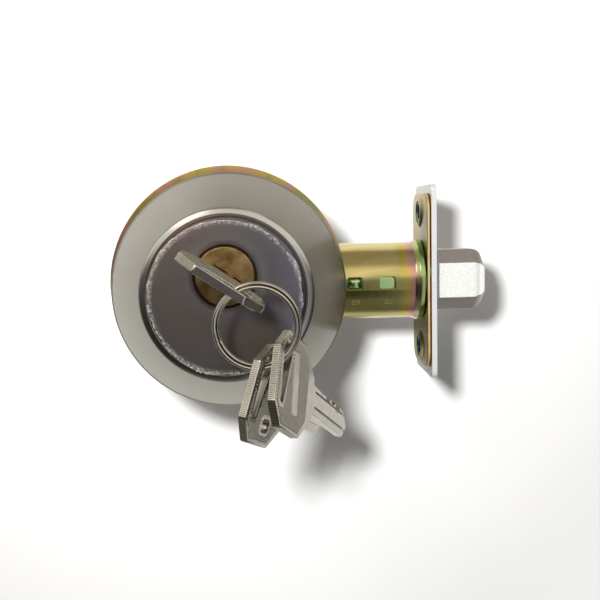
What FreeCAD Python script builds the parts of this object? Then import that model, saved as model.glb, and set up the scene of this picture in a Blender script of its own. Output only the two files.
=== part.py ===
import FreeCAD, Part
import math
import os
import re
import Sketcher

# Single-cylinder tubular deadbolt with its keys, as fitted to a 40 mm door.
# The origin is where the bolt tube's axis (X, towards the door's edge) crosses
# the axis of the cross bore (Y, into the door from outside) at mid-door; Z is up.
# The bolt is part thrown: the key stands key_turn degrees past upright.

SIZES = (
    ("door_thickness", 40),
    ("backset", 60),
    ("spindle_rise", 5.5),
    ("key_turn", 56),
    ("throw", 25),
    ("throw_turn", 90),
    ("gap", 0.3),
    ("running_gap", 0.05),
    ("rose_radius", 32.5),
    ("rose_depth", 15.6),
    ("rose_wall", 1.5),
    ("rose_rim", 1.2),
    ("rose_mouth", 20.5),
    ("rose_lip", 2.4),
    ("seat_radius", 17.2),
    ("seat_drop", 2.2),
    ("ring_radius", 32.6),
    ("ring_bore", 25),
    ("ring_plate", 1.0),
    ("ring_lift", 1.8),
    ("ring_shift", 0.3),
    ("face_proud", 6.4),
    ("shell_radius", 20.0),
    ("shell_wall", 0.8),
    ("film_plate", 0.12),
    ("film_radius", 19.6),
    ("housing_radius", 17.0),
    ("flange_radius", 23.0),
    ("flange_plate", 2.2),
    ("post_radius", 4.2),
    ("post_side", 9.0),
    ("post_rise", 16.6),
    ("screw_radius", 2.0),
    ("screw_head", 4.4),
    ("screw_head_plate", 2.6),
    ("plug_head", 7.5),
    ("plug_radius", 6.35),
    ("plug_tail", 2.8),
    ("keyway_width", 2.3),
    ("keyway_top", 3.8),
    ("keyway_foot", 4.2),
    ("pin_radius", 1.4),
    ("pin_pitch", 4.0),
    ("pin_first", 5.0),
    ("driver_length", 4.2),
    ("spring_length", 6.6),
    ("spring_wire", 0.18),
    ("clip_plate", 0.8),
    ("clip_radius", 7.4),
    ("tail_width", 6.4),
    ("tail_plate", 2.0),
    ("tube_radius", 11.5),
    ("tube_wall", 0.9),
    ("tube_start", 22),
    ("neck_radius", 10.4),
    ("neck_wall", 0.5),
    ("tube_flange_land", 1.6),
    ("tube_flange_plate", 0.5),
    ("bead_rise", 0.7),
    ("bead_width", 1.6),
    ("window_long", 4.7),
    ("window_tall", 3.9),
    ("window_first", 36.0),
    ("window_pitch", 9.7),
    ("sleeve_wall", 0.75),
    ("sleeve_start", 18.5),
    ("sleeve_end", 52),
    ("case_half", 5.4),
    ("case_plate", 1.0),
    ("case_collar_plate", 1.2),
    ("rivet_radius", 1.2),
    ("leaf_plate", 0.25),
    ("leaf_half", 2.5),
    ("case_web", 0.7),
    ("case_back", 18.5),
    ("case_top", 11.6),
    ("case_foot", 10.9),
    ("hub_radius", 4.6),
    ("hub_journal", 4.0),
    ("arm_plate", 3.0),
    ("arm_pin", 1.8),
    ("cheek_plate", 1.4),
    ("slot_room", 0.62),
    ("bolt_tall", 18.2),
    ("bolt_wide", 14.0),
    ("bolt_chamfer", 4.0),
    ("bolt_length", 41.0),
    ("nose_round", 3.3),
    ("roller_radius", 3.0),
    ("roller_length", 30.0),
    ("plate_tall", 57),
    ("plate_wide", 25),
    ("plate_thick", 1.2),
    ("backing_tall", 52),
    ("backing_wide", 23),
    ("backing_thick", 1.0),
    ("plate_screws", 41),
    ("plate_hole", 2.4),
    ("sink_radius", 4.0),
    ("dimple_radius", 3.1),
    ("inner_rose_depth", 9.0),
    ("inner_plate", 1.5),
    ("shaft_radius", 5.0),
    ("washer_plate", 0.5),
    ("turn_base", 9.0),
    ("turn_reach", 26.0),
    ("turn_thick", 7.0),
    ("turn_deep", 15.0),
    ("key_plate", 1.9),
    ("bow_long", 23.0),
    ("bow_wide", 23.0),
    ("blade_long", 27.0),
    ("key_stand", 2.0),
    ("blade_top", 3.6),
    ("blade_foot", 4.0),
    ("ring_mean", 9.4),
    ("ring_wire", 0.9),
)

doc = FreeCAD.newDocument("deadbolt")
dims = doc.addObject("Spreadsheet::Sheet", "Dims")
for row, (alias, value) in enumerate(SIZES, start=1):
    dims.set("A%d" % row, alias)
    dims.set("B%d" % row, str(value))
    dims.setAlias("B%d" % row, alias)
doc.recompute()
ALIASES = dict(SIZES)
NODES = []


def formula(text):
    """Write the sheet's name in front of each alias used in a formula."""
    return re.sub(r"[a-z_]+", lambda m: "Dims." + m.group(0) if m.group(0) in ALIASES else m.group(0),
                  str(text))


def bind(thing, prop, text):
    thing.setExpression(prop, formula(text))


def place(thing, x="0", y="0", z="0"):
    for axis, text in zip("xyz", (x, y, z)):
        bind(thing, "Placement.Base." + axis, text)


def block(x, y, z):
    """A box between two formulas along each axis."""
    box = doc.addObject("Part::Box", "Block")
    for prop, (low, high) in zip(("Length", "Width", "Height"), (x, y, z)):
        bind(box, prop, "(%s) - (%s)" % (high, low))
    place(box, x[0], y[0], z[0])
    return box


AIM = {
    "X": FreeCAD.Rotation(FreeCAD.Vector(0, 1, 0), 90),
    "Y": FreeCAD.Rotation(FreeCAD.Vector(1, 0, 0), -90),
    "Z": FreeCAD.Rotation(),
}


def rod(axis, radius, start, end, x="0", y="0", z="0"):
    """A round bar along an axis, from start to end."""
    bar = doc.addObject("Part::Cylinder", "Rod")
    bar.Placement = FreeCAD.Placement(FreeCAD.Vector(), AIM[axis])
    bind(bar, "Radius", radius)
    bind(bar, "Height", "(%s) - (%s)" % (end, start))
    spot = {"X": (start, y, z), "Y": (x, start, z), "Z": (x, y, start)}[axis]
    place(bar, *spot)
    return bar


def cone(axis, start_radius, end_radius, start, end, x="0", y="0", z="0"):
    bar = doc.addObject("Part::Cone", "Cone")
    bar.Placement = FreeCAD.Placement(FreeCAD.Vector(), AIM[axis])
    bind(bar, "Radius1", start_radius)
    bind(bar, "Radius2", end_radius)
    bind(bar, "Height", "(%s) - (%s)" % (end, start))
    spot = {"X": (start, y, z), "Y": (x, start, z), "Z": (x, y, start)}[axis]
    place(bar, *spot)
    return bar


def join(*parts):
    if len(parts) == 1:
        return parts[0]
    union = doc.addObject("Part::MultiFuse", "Join")
    union.Shapes = list(parts)
    return union


def group(parts):
    """Separate solids that share one node."""
    bundle = doc.addObject("Part::Compound", "Group")
    bundle.Links = list(parts)
    return bundle


def cut(base, *tools):
    result = doc.addObject("Part::Cut", "Cut")
    result.Base = base
    result.Tool = join(*tools)
    return result


def common(one, other):
    result = doc.addObject("Part::Common", "Common")
    result.Base = one
    result.Tool = other
    return result


def sketch_in(body, plane, points):
    """A closed outline whose corners are formulas, in one of the body's origin planes."""
    sketch = body.newObject("Sketcher::SketchObject", "Outline")
    support = [item for item in body.Origin.OriginFeatures if item.Role == plane][0]
    sketch.AttachmentSupport = [(support, "")]
    sketch.MapMode = "FlatFace"
    count = len(points)
    for index in range(count):
        start = 2 * math.pi * index / count
        end = 2 * math.pi * (index + 1) / count
        line = Part.LineSegment(FreeCAD.Vector(math.cos(start), math.sin(start), 0),
                                FreeCAD.Vector(math.cos(end), math.sin(end), 0))
        sketch.addGeometry(line, False)
    for index in range(count):
        sketch.addConstraint(Sketcher.Constraint("Coincident", index, 2, (index + 1) % count, 1))
    for index, corner in enumerate(points):
        for kind, text in zip(("DistanceX", "DistanceY"), corner):
            number = sketch.addConstraint(Sketcher.Constraint(kind, -1, 1, index, 1, 1.0))
            sketch.setExpression("Constraints[%d]" % number, formula(text))
    return sketch


def turned(axis, points):
    """A body turned about Y (points are radius, y) or about X (points are x, radius)."""
    body = doc.addObject("PartDesign::Body", "Turned")
    sketch = sketch_in(body, "XY_Plane", points)
    spin = body.newObject("PartDesign::Revolution", "Spin")
    spin.Profile = (sketch, [""])
    spin.ReferenceAxis = (sketch, ["V_Axis" if axis == "Y" else "H_Axis"])
    spin.Angle = 360
    return body


def plate(plane, points, low, high, corner=None):
    """A body padded from an outline between two heights on the plane's normal."""
    body = doc.addObject("PartDesign::Body", "Plate")
    sketch = sketch_in(body, plane, points)
    normal = {"XY_Plane": "z", "XZ_Plane": "y", "YZ_Plane": "x"}[plane]
    start = "-(%s)" % high if plane == "XZ_Plane" else low
    bind(sketch, "AttachmentOffset.Base.z", start)
    pad = body.newObject("PartDesign::Pad", "Pad")
    pad.Profile = (sketch, [""])
    bind(pad, "Length", "(%s) - (%s)" % (high, low))
    if corner:
        doc.recompute()
        edges = []
        for index, edge in enumerate(pad.Shape.Edges, start=1):
            span = edge.Vertexes[-1].Point - edge.Vertexes[0].Point
            if abs(abs(getattr(span, normal)) - span.Length) < 1e-6:
                edges.append("Edge%d" % index)
        rounding = body.newObject("PartDesign::Fillet", "Corners")
        rounding.Base = (pad, edges)
        bind(rounding, "Radius", corner)
    return body


def turn_about_spindle(thing, angle="key_turn"):
    """Turn a piece that was drawn upright about the spindle, as seen from outside."""
    if thing.TypeId == "Part::Box":
        thing = group([thing])
    thing.Placement = FreeCAD.Placement(FreeCAD.Vector(), FreeCAD.Rotation(FreeCAD.Vector(0, -1, 0), 1))
    bind(thing, "Placement.Rotation.Angle", angle)
    place(thing, "spindle_rise * sin(%s)" % angle, "0", "spindle_rise * (1 - cos(%s))" % angle)
    return thing


def node(label, thing):
    thing.Label = label
    NODES.append(thing)
    return thing


# Places along Y, as formulas: the door's faces, the rose's lip and the cylinder's face.
OUTSIDE = "-door_thickness / 2"
INSIDE = "door_thickness / 2"
RING_FRONT = "(-door_thickness / 2 - ring_plate)"
LIP = "(-door_thickness / 2 - ring_plate - rose_depth)"
SEAT = "(-door_thickness / 2 - ring_plate - rose_depth + seat_drop)"
FACE = "(-door_thickness / 2 - ring_plate - rose_depth - face_proud)"
AXIS_Z = "spindle_rise"

# Exterior rose: a cup pressed from sheet, with a rolled lip and a seat for the cylinder.
node("exterior_rose", turned("Y", (
    ("rose_radius", RING_FRONT),
    ("rose_radius", RING_FRONT + " - rose_rim"),
    ("rose_radius - 0.5", RING_FRONT + " - rose_rim - 0.5"),
    ("rose_mouth + rose_lip", LIP + " + 0.9"),
    ("rose_mouth + rose_lip - 0.7", LIP + " + 0.2"),
    ("rose_mouth + 0.6", LIP),
    ("rose_mouth", LIP + " + 0.5"),
    ("rose_mouth", SEAT),
    ("seat_radius", SEAT),
    ("seat_radius", SEAT + " + 1"),
    ("rose_mouth + 1.1", SEAT + " + 1"),
    ("rose_radius - rose_wall", RING_FRONT + " - rose_rim"),
    ("rose_radius - rose_wall", RING_FRONT),
)))

# The zinc-plated ring behind the rose sits a little high and to one side.
backing_ring = turned("Y", (
    ("ring_bore", OUTSIDE),
    ("ring_radius", OUTSIDE),
    ("ring_radius", RING_FRONT),
    ("ring_bore", RING_FRONT),
))
place(backing_ring, "-ring_shift", "0", "ring_lift")
node("rose_backing_ring", backing_ring)

# Cylinder housing: a die-cast barrel with a flange and two threaded posts.
BARREL_END = "(-door_thickness / 2 + 2)"
PLUG_BORE = "plug_radius + running_gap"
HEAD_BACK = "(%s + shell_wall + 0.2)" % FACE
barrel = rod("Y", "housing_radius", SEAT, BARREL_END)
head = rod("Y", "shell_radius - shell_wall - 0.05", HEAD_BACK, SEAT)
flange = rod("Y", "flange_radius", "-door_thickness / 2 - 11", "-door_thickness / 2 - 11 + flange_plate")
posts = []
post_bores = []
for side in ("", "-"):
    where = {"x": side + "(-post_side)", "z": side + "post_rise"}
    posts.append(rod("Y", "post_radius", "-door_thickness / 2 - 10", "-door_thickness / 2 + 7", **where))
    post_bores.append(rod("Y", "screw_radius + 0.02", "-door_thickness / 2 - 7",
                          "-door_thickness / 2 + 8", **where))
bores = [
    rod("Y", PLUG_BORE, FACE + " - 1", BARREL_END + " + 1", z=AXIS_Z),
    rod("Y", "plug_head + gap", FACE + " - 1", FACE + " + plug_tail", z=AXIS_Z),
    block(("-pin_radius - 0.6", "pin_radius + 0.6"), (FACE + " + pin_first - 3", BARREL_END + " - 1"),
          ("-housing_radius - 4", "-driver_length - spring_length - 1.2")),
]
chambers = []
for index in range(5):
    depth = "(%s + pin_first + %d * pin_pitch)" % (FACE, index)
    chambers.append(rod("Z", "pin_radius + running_gap", "-driver_length - spring_length - 2",
                        "spindle_rise - 3", y=depth))
node("cylinder_housing", cut(join(barrel, head, flange, *posts), *(bores + post_bores + chambers)))

# The cover strip that closes the pin chambers from below.
node("chamber_cover", block(("-pin_radius - 0.5", "pin_radius + 0.5"),
                            (FACE + " + pin_first - 2.8", BARREL_END + " - 1.2"),
                            ("-driver_length - spring_length - 2.6", "-driver_length - spring_length - 1.3")))

# Steel face shell of the cylinder, pierced for the plug off its centre.
shell = turned("Y", (
    ("0", FACE),
    ("shell_radius - 0.5", FACE),
    ("shell_radius", FACE + " + 0.5"),
    ("shell_radius", SEAT),
    ("shell_radius - shell_wall", SEAT),
    ("shell_radius - shell_wall", FACE + " + shell_wall"),
    ("0", FACE + " + shell_wall"),
))
node("cylinder_face_shell", cut(
    shell,
    rod("Y", "plug_head + gap", FACE + " - 1", FACE + " + 3", z=AXIS_Z),
    cone("Y", "plug_head + gap + 0.6", "plug_head + gap", FACE, FACE + " + 0.45", z=AXIS_Z)))

# Protective film left on the face.
node("face_film", cut(
    rod("Y", "film_radius", FACE + " - film_plate", FACE),
    rod("Y", "plug_head + gap + 1.1", FACE + " - 1", FACE + " + 1", z=AXIS_Z)))

# Brass plug, drawn upright and turned with the key.
PLUG_FRONT = "(%s - 0.25)" % FACE
PLUG_END = "(%s + plug_tail)" % BARREL_END
plug = join(
    rod("Y", "plug_head", PLUG_FRONT, FACE + " + plug_tail - 0.2", z=AXIS_Z),
    rod("Y", "plug_radius", FACE + " + 1", PLUG_END, z=AXIS_Z))
CLIP_FRONT = "(%s + 0.2)" % BARREL_END
groove = cut(
    rod("Y", "plug_radius + 1", CLIP_FRONT, CLIP_FRONT + " + clip_plate + 0.1", z=AXIS_Z),
    rod("Y", "plug_radius - 1", CLIP_FRONT + " - 1", CLIP_FRONT + " + 3", z=AXIS_Z))
keyway = block(("-keyway_width / 2", "keyway_width / 2"), (PLUG_FRONT + " - 1", PLUG_END + " - 1"),
               ("spindle_rise - keyway_foot", "spindle_rise + keyway_top"))
plug_bores = []
key_pins = []
CUTS = (0.6, 1.8, 1.2, 2.3, 0.9)
for index, depth_of_cut in enumerate(CUTS):
    depth = "(%s + pin_first + %d * pin_pitch)" % (FACE, index)
    plug_bores.append(rod("Z", "pin_radius + running_gap", "spindle_rise - plug_radius - 1",
                          "spindle_rise - 1.2", y=depth))
    key_pins.append(rod("Z", "pin_radius", "spindle_rise - plug_radius + 0.12",
                        "spindle_rise - blade_foot + %.2f - 0.03" % depth_of_cut, y=depth))
node("plug", turn_about_spindle(cut(plug, groove, keyway, *plug_bores)))
node("key_pins", turn_about_spindle(group(key_pins)))

# Driver pins and springs stay in the housing.
drivers = []
springs = []
for index in range(5):
    depth = "(%s + pin_first + %d * pin_pitch)" % (FACE, index)
    top = "(spindle_rise - plug_radius - running_gap)"
    drivers.append(rod("Z", "pin_radius", top + " - driver_length", top, y=depth))
    coil = doc.addObject("Part::Helix", "Coil")
    bind(coil, "Pitch", "spring_length / 7")
    bind(coil, "Height", "spring_length - 4 * spring_wire")
    bind(coil, "Radius", "pin_radius - 2 * spring_wire")
    wire = doc.addObject("Part::Circle", "Wire")
    bind(wire, "Radius", "spring_wire")
    wire.Placement = FreeCAD.Placement(FreeCAD.Vector(), FreeCAD.Rotation(FreeCAD.Vector(1, 0, 0), 90))
    bind(wire, "Placement.Base.x", "pin_radius - 2 * spring_wire")
    sweep = doc.addObject("Part::Sweep", "Spring")
    sweep.Sections = [wire]
    sweep.Spine = (coil, ["Edge1"])
    sweep.Solid = True
    sweep.Frenet = True
    place(sweep, "0", depth, "spindle_rise - plug_radius - driver_length - spring_length + spring_wire")
    springs.append(sweep)
node("driver_pins", group(drivers))
node("pin_springs", group(springs))

# Retaining clip in the plug's groove.
clip = cut(
    rod("Y", "clip_radius", CLIP_FRONT, CLIP_FRONT + " + clip_plate", z=AXIS_Z),
    rod("Y", "plug_radius - 0.95", CLIP_FRONT + " - 1", CLIP_FRONT + " + 3", z=AXIS_Z),
    block(("-3", "3"), (CLIP_FRONT + " - 1", CLIP_FRONT + " + 3"), ("spindle_rise", "spindle_rise + 12")))
node("plug_clip", turn_about_spindle(clip))

# Lost-motion driver: the tail bar swings a quarter turn between its two stops,
# so the key goes back upright and comes out while the bolt stays thrown.
DRIVER_END = "(%s + 2.2)" % PLUG_END
TAIL_HALF = "(tail_width / 2 + 0.2)"
driver = rod("Y", "plug_radius - 0.2", PLUG_END, DRIVER_END, z=AXIS_Z)
room = []
for side in (1, -1):
    sector = doc.addObject("Part::Cylinder", "Sector")
    bind(sector, "Radius", TAIL_HALF)
    bind(sector, "Height", "4.4")
    bind(sector, "Angle", "throw_turn")
    sector.Placement = FreeCAD.Placement(FreeCAD.Vector(), FreeCAD.Rotation(
        FreeCAD.Vector(0, 0, side), FreeCAD.Vector(-side, 0, 0), FreeCAD.Vector(0, -1, 0)))
    place(sector, "0", PLUG_END + " + 3.4", AXIS_Z)
    room.append(sector)
HALF_BAR = "(tail_plate / 2 + 0.15)"
room.append(block(("-" + HALF_BAR, HALF_BAR), (PLUG_END + " - 1", PLUG_END + " + 3.4"),
                  ("spindle_rise - " + TAIL_HALF, "spindle_rise + " + TAIL_HALF)))
room.append(block(("-" + TAIL_HALF, TAIL_HALF), (PLUG_END + " - 1", PLUG_END + " + 3.4"),
                  ("spindle_rise - " + HALF_BAR, "spindle_rise + " + HALF_BAR)))
node("plug_driver", turn_about_spindle(cut(driver, *room)))

# Tailpiece: a flat bar through the hub to the thumb-turn.
TAIL_END = "(door_thickness / 2 + 7)"
node("tailpiece", turn_about_spindle(block(
    ("-tail_plate / 2", "tail_plate / 2"), (PLUG_END + " + 0.2", TAIL_END),
    ("spindle_rise - tail_width / 2", "spindle_rise + tail_width / 2"))))

# Hub and arm. The arm hangs straight down at mid-throw.
ARM_LENGTH = "(throw / 2 / sin(throw_turn / 2))"
arm_lean = "key_turn - throw_turn / 2"
hub = join(
    rod("Y", "hub_radius", "-case_half + case_plate + 0.2", "case_half - case_plate - 0.2", z=AXIS_Z),
    rod("Y", "hub_journal", "-case_half", "case_half", z=AXIS_Z),
    block(("-2.4", "2.4"), ("-arm_plate / 2", "arm_plate / 2"), ("spindle_rise - " + ARM_LENGTH, AXIS_Z)),
    rod("Y", "2.4", "-arm_plate / 2", "arm_plate / 2", z="spindle_rise - " + ARM_LENGTH),
    rod("Y", "arm_pin", "-arm_plate / 2 - cheek_plate - 0.6", "arm_plate / 2 + cheek_plate + 0.6",
        z="spindle_rise - " + ARM_LENGTH))
hub_slot = doc.addObject("Part::Box", "HubSlot")
hub_slot.Placement = FreeCAD.Placement(FreeCAD.Vector(), FreeCAD.Rotation(FreeCAD.Vector(0, -1, 0), 45))
bind(hub_slot, "Length", "tail_plate + 0.1")
bind(hub_slot, "Width", "4 * case_half")
bind(hub_slot, "Height", "tail_width + 0.1")
bind(hub_slot, "Placement.Rotation.Angle", "throw_turn / 2")
place(hub_slot,
      "-(tail_plate + 0.1) / 2 * cos(throw_turn / 2) + (tail_width + 0.1) / 2 * sin(throw_turn / 2)",
      "-2 * case_half",
      "spindle_rise - (tail_plate + 0.1) / 2 * sin(throw_turn / 2)"
      " - (tail_width + 0.1) / 2 * cos(throw_turn / 2)")
node("hub", turn_about_spindle(cut(hub, hub_slot), arm_lean))

# Case around the hub: two plates, the near one bent round the back and top.
JOURNAL_HOLE = "hub_journal + running_gap"
SLEEVE_OUT = "(tube_radius - tube_wall - 0.1)"
CASE_SPAN = ("-case_back", "sleeve_start - case_collar_plate")
CASE_INNER = "(case_half - case_plate)"
RIVETS = (("-case_back + 3", "case_top - 3.4"), ("sleeve_start - 4", "case_top - 3.4"))


def case_bores():
    bores = [rod("Y", JOURNAL_HOLE, "-case_half - 1", "case_half + 1", z=AXIS_Z)]
    for x, z in RIVETS:
        bores.append(rod("Y", "rivet_radius", "-case_half - 1", "case_half + 1", x=x, z=z))
    return bores


near_plate = cut(
    block(CASE_SPAN, ("-case_half", CASE_INNER), ("-case_foot", "case_top")),
    block(("-case_back + case_plate", "sleeve_start"), ("-" + CASE_INNER, "case_half"),
          ("-case_foot - 1", "case_top - case_web")))
node("case_near_plate", cut(near_plate, *case_bores()))
node("case_far_plate", cut(
    block(CASE_SPAN, (CASE_INNER, "case_half"), ("-case_foot", "case_top - case_web")),
    *case_bores()))
rivets = []
for x, z in RIVETS:
    rivets.append(join(
        rod("Y", "rivet_radius", "-case_half - 0.5", "case_half + 0.5", x=x, z=z),
        rod("Y", "rivet_radius + 0.7", "-case_half - 0.5", "-case_half", x=x, z=z),
        rod("Y", "rivet_radius + 0.7", "case_half", "case_half + 0.5", x=x, z=z)))
node("case_rivets", group(rivets))
LINK_FOOT = "-8.2"
LINK_TOP = "-2.6"
LUG_FOOT = "-11.4"
node("case_collar", cut(
    rod("X", "tube_radius - 0.1", "sleeve_start - case_collar_plate", "sleeve_start"),
    block(("sleeve_start - 2", "sleeve_start + 1"), ("-%s + 0.2" % CASE_INNER, CASE_INNER + " - 0.2"),
          (LINK_FOOT + " - 0.8", LINK_TOP + " + 2.4"))))

# A bowed leaf spring under the top web presses on the hub.
LEAF_ROOT = "case_top - case_web - 0.05"
LEAF_BOW = "spindle_rise + hub_radius + 0.12"
node("detent_leaf", plate("XZ_Plane", (
    ("-case_back + 4", LEAF_ROOT + " - leaf_plate"),
    ("-4", LEAF_BOW),
    ("4", LEAF_BOW),
    ("sleeve_start - 8", LEAF_ROOT + " - leaf_plate"),
    ("sleeve_start - 8", LEAF_ROOT),
    ("4", LEAF_BOW + " + leaf_plate"),
    ("-4", LEAF_BOW + " + leaf_plate"),
    ("-case_back + 4", LEAF_ROOT),
), "-leaf_half", "leaf_half"))

# Bolt tube, with its backset windows, end bead and flange.
PLATE_BACK = "(backset - plate_thick)"
FLANGE_BACK = "(backset - plate_thick - tube_flange_plate)"
BACKING_BACK = "(backset - plate_thick - tube_flange_plate - backing_thick)"
NECK_BORE = "(neck_radius - neck_wall)"
tube = turned("X", (
    ("tube_start", "tube_radius - tube_wall"),
    ("tube_start", "tube_radius"),
    (BACKING_BACK + " - bead_width - 0.5", "tube_radius"),
    (BACKING_BACK + " - bead_width - 0.1", "tube_radius + bead_rise"),
    (BACKING_BACK + " - 0.5", "tube_radius + bead_rise"),
    (BACKING_BACK, "tube_radius"),
    (BACKING_BACK, "neck_radius"),
    (FLANGE_BACK, "neck_radius"),
    (FLANGE_BACK, "neck_radius + tube_flange_land"),
    (PLATE_BACK, "neck_radius + tube_flange_land"),
    (PLATE_BACK, NECK_BORE),
    (BACKING_BACK + " - 0.6", NECK_BORE),
    (BACKING_BACK + " - 0.6", "tube_radius - tube_wall"),
))
windows = []
for index in range(2):
    centre = "(window_first + %d * window_pitch)" % index
    windows.append(plate("XZ_Plane", (
        (centre + " - window_long / 2", "-window_tall / 2"),
        (centre + " + window_long / 2", "-window_tall / 2"),
        (centre + " + window_long / 2", "window_tall / 2"),
        (centre + " - window_long / 2", "window_tall / 2"),
    ), "-tube_radius - 1", "tube_radius + 1", corner="0.8"))
node("bolt_tube", cut(tube, *windows))

# Backset sleeve: slides in the tube to choose the backset, its tab in the first window.
sleeve = turned("X", (
    ("sleeve_start", SLEEVE_OUT + " - sleeve_wall"),
    ("sleeve_start", SLEEVE_OUT),
    ("sleeve_end", SLEEVE_OUT),
    ("sleeve_end", SLEEVE_OUT + " - sleeve_wall"),
))
tab = common(
    block(("window_first - window_long / 2 + 0.3", "window_first + window_long / 2 - 0.3"),
          ("-tube_radius", "-tube_radius + tube_wall + 0.4"), ("-window_tall / 2 + 0.3",
                                                             "window_tall / 2 - 0.3")),
    rod("X", "tube_radius - 0.25", "tube_start", "sleeve_end"))
node("backset_sleeve", join(sleeve, tab))

# Faceplate and the rounded backing plate behind it, with countersunk screw dimples.
dimples = []
sinks = []
backing_holes = []
rims = []
for side in ("", "-"):
    height = side + "plate_screws / 2"
    dimples.append(rod("X", "dimple_radius", BACKING_BACK + " - 0.3", PLATE_BACK + " + 0.2", z=height))
    sinks.append(rod("X", "plate_hole", BACKING_BACK + " - 1", "backset + 1", z=height))
    sinks.append(cone("X", "plate_hole", "sink_radius", "backset - 1.6", "backset", z=height))
    backing_holes.append(rod("X", "dimple_radius + 0.15", BACKING_BACK + " - 2", PLATE_BACK, z=height))
    rims.append(cone("X", "dimple_radius + 0.8", "dimple_radius + 1.2", BACKING_BACK + " - 0.6",
                     BACKING_BACK + " + 0.1", z=height))
faceplate = plate("YZ_Plane", (
    ("-plate_wide / 2", "-plate_tall / 2"),
    ("plate_wide / 2", "-plate_tall / 2"),
    ("plate_wide / 2", "plate_tall / 2"),
    ("-plate_wide / 2", "plate_tall / 2"),
), PLATE_BACK, "backset", corner="2")


def bolt_outline(grow):
    wide = "(bolt_wide / 2 + %s)" % grow
    tall = "(bolt_tall / 2 + %s)" % grow
    return (
        ("-" + wide, "-%s + bolt_chamfer" % tall),
        ("-%s + bolt_chamfer" % wide, "-" + tall),
        (wide + " - bolt_chamfer", "-" + tall),
        (wide, "-%s + bolt_chamfer" % tall),
        (wide, tall + " - bolt_chamfer"),
        (wide + " - bolt_chamfer", tall),
        ("-%s + bolt_chamfer" % wide, tall),
        ("-" + wide, tall + " - bolt_chamfer"),
    )


node("faceplate", cut(join(faceplate, *dimples),
                      plate("YZ_Plane", bolt_outline("gap"), "backset - 4", "backset + 1"), *sinks))
backing = plate("YZ_Plane", (
    ("-backing_wide / 2", "-backing_tall / 2"),
    ("backing_wide / 2", "-backing_tall / 2"),
    ("backing_wide / 2", "backing_tall / 2"),
    ("-backing_wide / 2", "backing_tall / 2"),
), BACKING_BACK, FLANGE_BACK, corner="5")
node("faceplate_backing", cut(join(backing, *rims), rod("X", "neck_radius", "backset - 6", "backset"),
                              *backing_holes))

# The bolt, part thrown, with its roller, tail link and rivet.
NOSE = "(backset + throw * key_turn / throw_turn)"
bolt_bar = plate("YZ_Plane", bolt_outline("0"), NOSE + " - bolt_length", NOSE)
nose_plate = plate("XZ_Plane", (
    (NOSE + " - bolt_length - 2 * nose_round", "-bolt_tall / 2"),
    (NOSE, "-bolt_tall / 2"),
    (NOSE, "bolt_tall / 2"),
    (NOSE + " - bolt_length - 2 * nose_round", "bolt_tall / 2"),
), "-bolt_wide", "bolt_wide", corner="nose_round")
BOLT_REAR = "(%s - bolt_length)" % NOSE
LINK_HALF = "(arm_plate / 2 + 0.5 + cheek_plate)"
RIVET_X = BOLT_REAR + " + 4.5"
RIVET_Z = "-5.4"
roller_bore = rod("X", "roller_radius + 0.05", BOLT_REAR + " - 1", BOLT_REAR + " + roller_length + 0.1",
                  z="1.6")
link_slot = block((BOLT_REAR + " - 1", BOLT_REAR + " + 9"), ("-%s - 0.1" % LINK_HALF, LINK_HALF + " + 0.1"),
                  ("-bolt_tall", "-1.9"))
node("bolt", cut(common(bolt_bar, nose_plate), roller_bore, link_slot,
                 rod("Y", "1.5", "-bolt_wide", "bolt_wide", x=RIVET_X, z=RIVET_Z)))
node("bolt_roller", rod("X", "roller_radius", BOLT_REAR + " + 0.1", BOLT_REAR + " + roller_length",
                        z="1.6"))
SLOT_X = "(throw * (key_turn / throw_turn - 0.5))"
SLOT_HALF = "(arm_pin + slot_room)"
LUG_HALF = "(arm_pin + slot_room + 1.8)"
INNER = "(arm_plate / 2 + 0.5)"
cheeks = []
for layer in ((INNER, LINK_HALF), ("-" + LINK_HALF, "-" + INNER)):
    cheeks.append(cut(
        join(block((SLOT_X + " - " + LUG_HALF, SLOT_X + " + " + LUG_HALF), layer, (LUG_FOOT, LINK_TOP)),
             block((SLOT_X + " + 3", BOLT_REAR + " + 8.8"), layer, (LINK_FOOT, LINK_TOP))),
        block((SLOT_X + " - " + SLOT_HALF, SLOT_X + " + " + SLOT_HALF), ("-8", "8"),
              (LUG_FOOT + " - 1", "-4.6"))))
web = block((BOLT_REAR + " - 5", BOLT_REAR + " + 8.8"), ("-" + INNER, INNER), (LINK_FOOT, LINK_TOP))
node("bolt_link", cut(join(web, *cheeks), rod("Y", "1.5", "-8", "8", x=RIVET_X, z=RIVET_Z)))
node("link_rivet", rod("Y", "1.47", "-bolt_wide / 2 + 0.8", "bolt_wide / 2 - 0.8", x=RIVET_X, z=RIVET_Z))

# Inside of the door: mounting plate, its two through screws, the rose and the thumb-turn.
PLATE_IN = "(door_thickness / 2 + inner_plate)"
screws = []
screw_holes = []
for side in ("", "-"):
    where = {"x": side + "(-post_side)", "z": side + "post_rise"}
    screws.append(join(
        rod("Y", "screw_radius", "-door_thickness / 2 - 5", PLATE_IN, **where),
        cut(rod("Y", "screw_head", PLATE_IN, PLATE_IN + " + screw_head_plate", **where),
            block((where["x"] + " - 3", where["x"] + " + 3"), (PLATE_IN + " + 1.4", PLATE_IN + " + 4"),
                  (where["z"] + " - 0.5", where["z"] + " + 0.5")))))
    screw_holes.append(rod("Y", "screw_radius + gap", "0", "door_thickness", **where))
node("mounting_screws", group(screws))
node("interior_plate", cut(
    rod("Y", "rose_radius - rose_wall - 0.4", INSIDE, PLATE_IN),
    rod("Y", "shaft_radius + 1", "0", "door_thickness", z=AXIS_Z), *screw_holes))
ROSE_IN = "(door_thickness / 2 + inner_rose_depth)"
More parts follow.
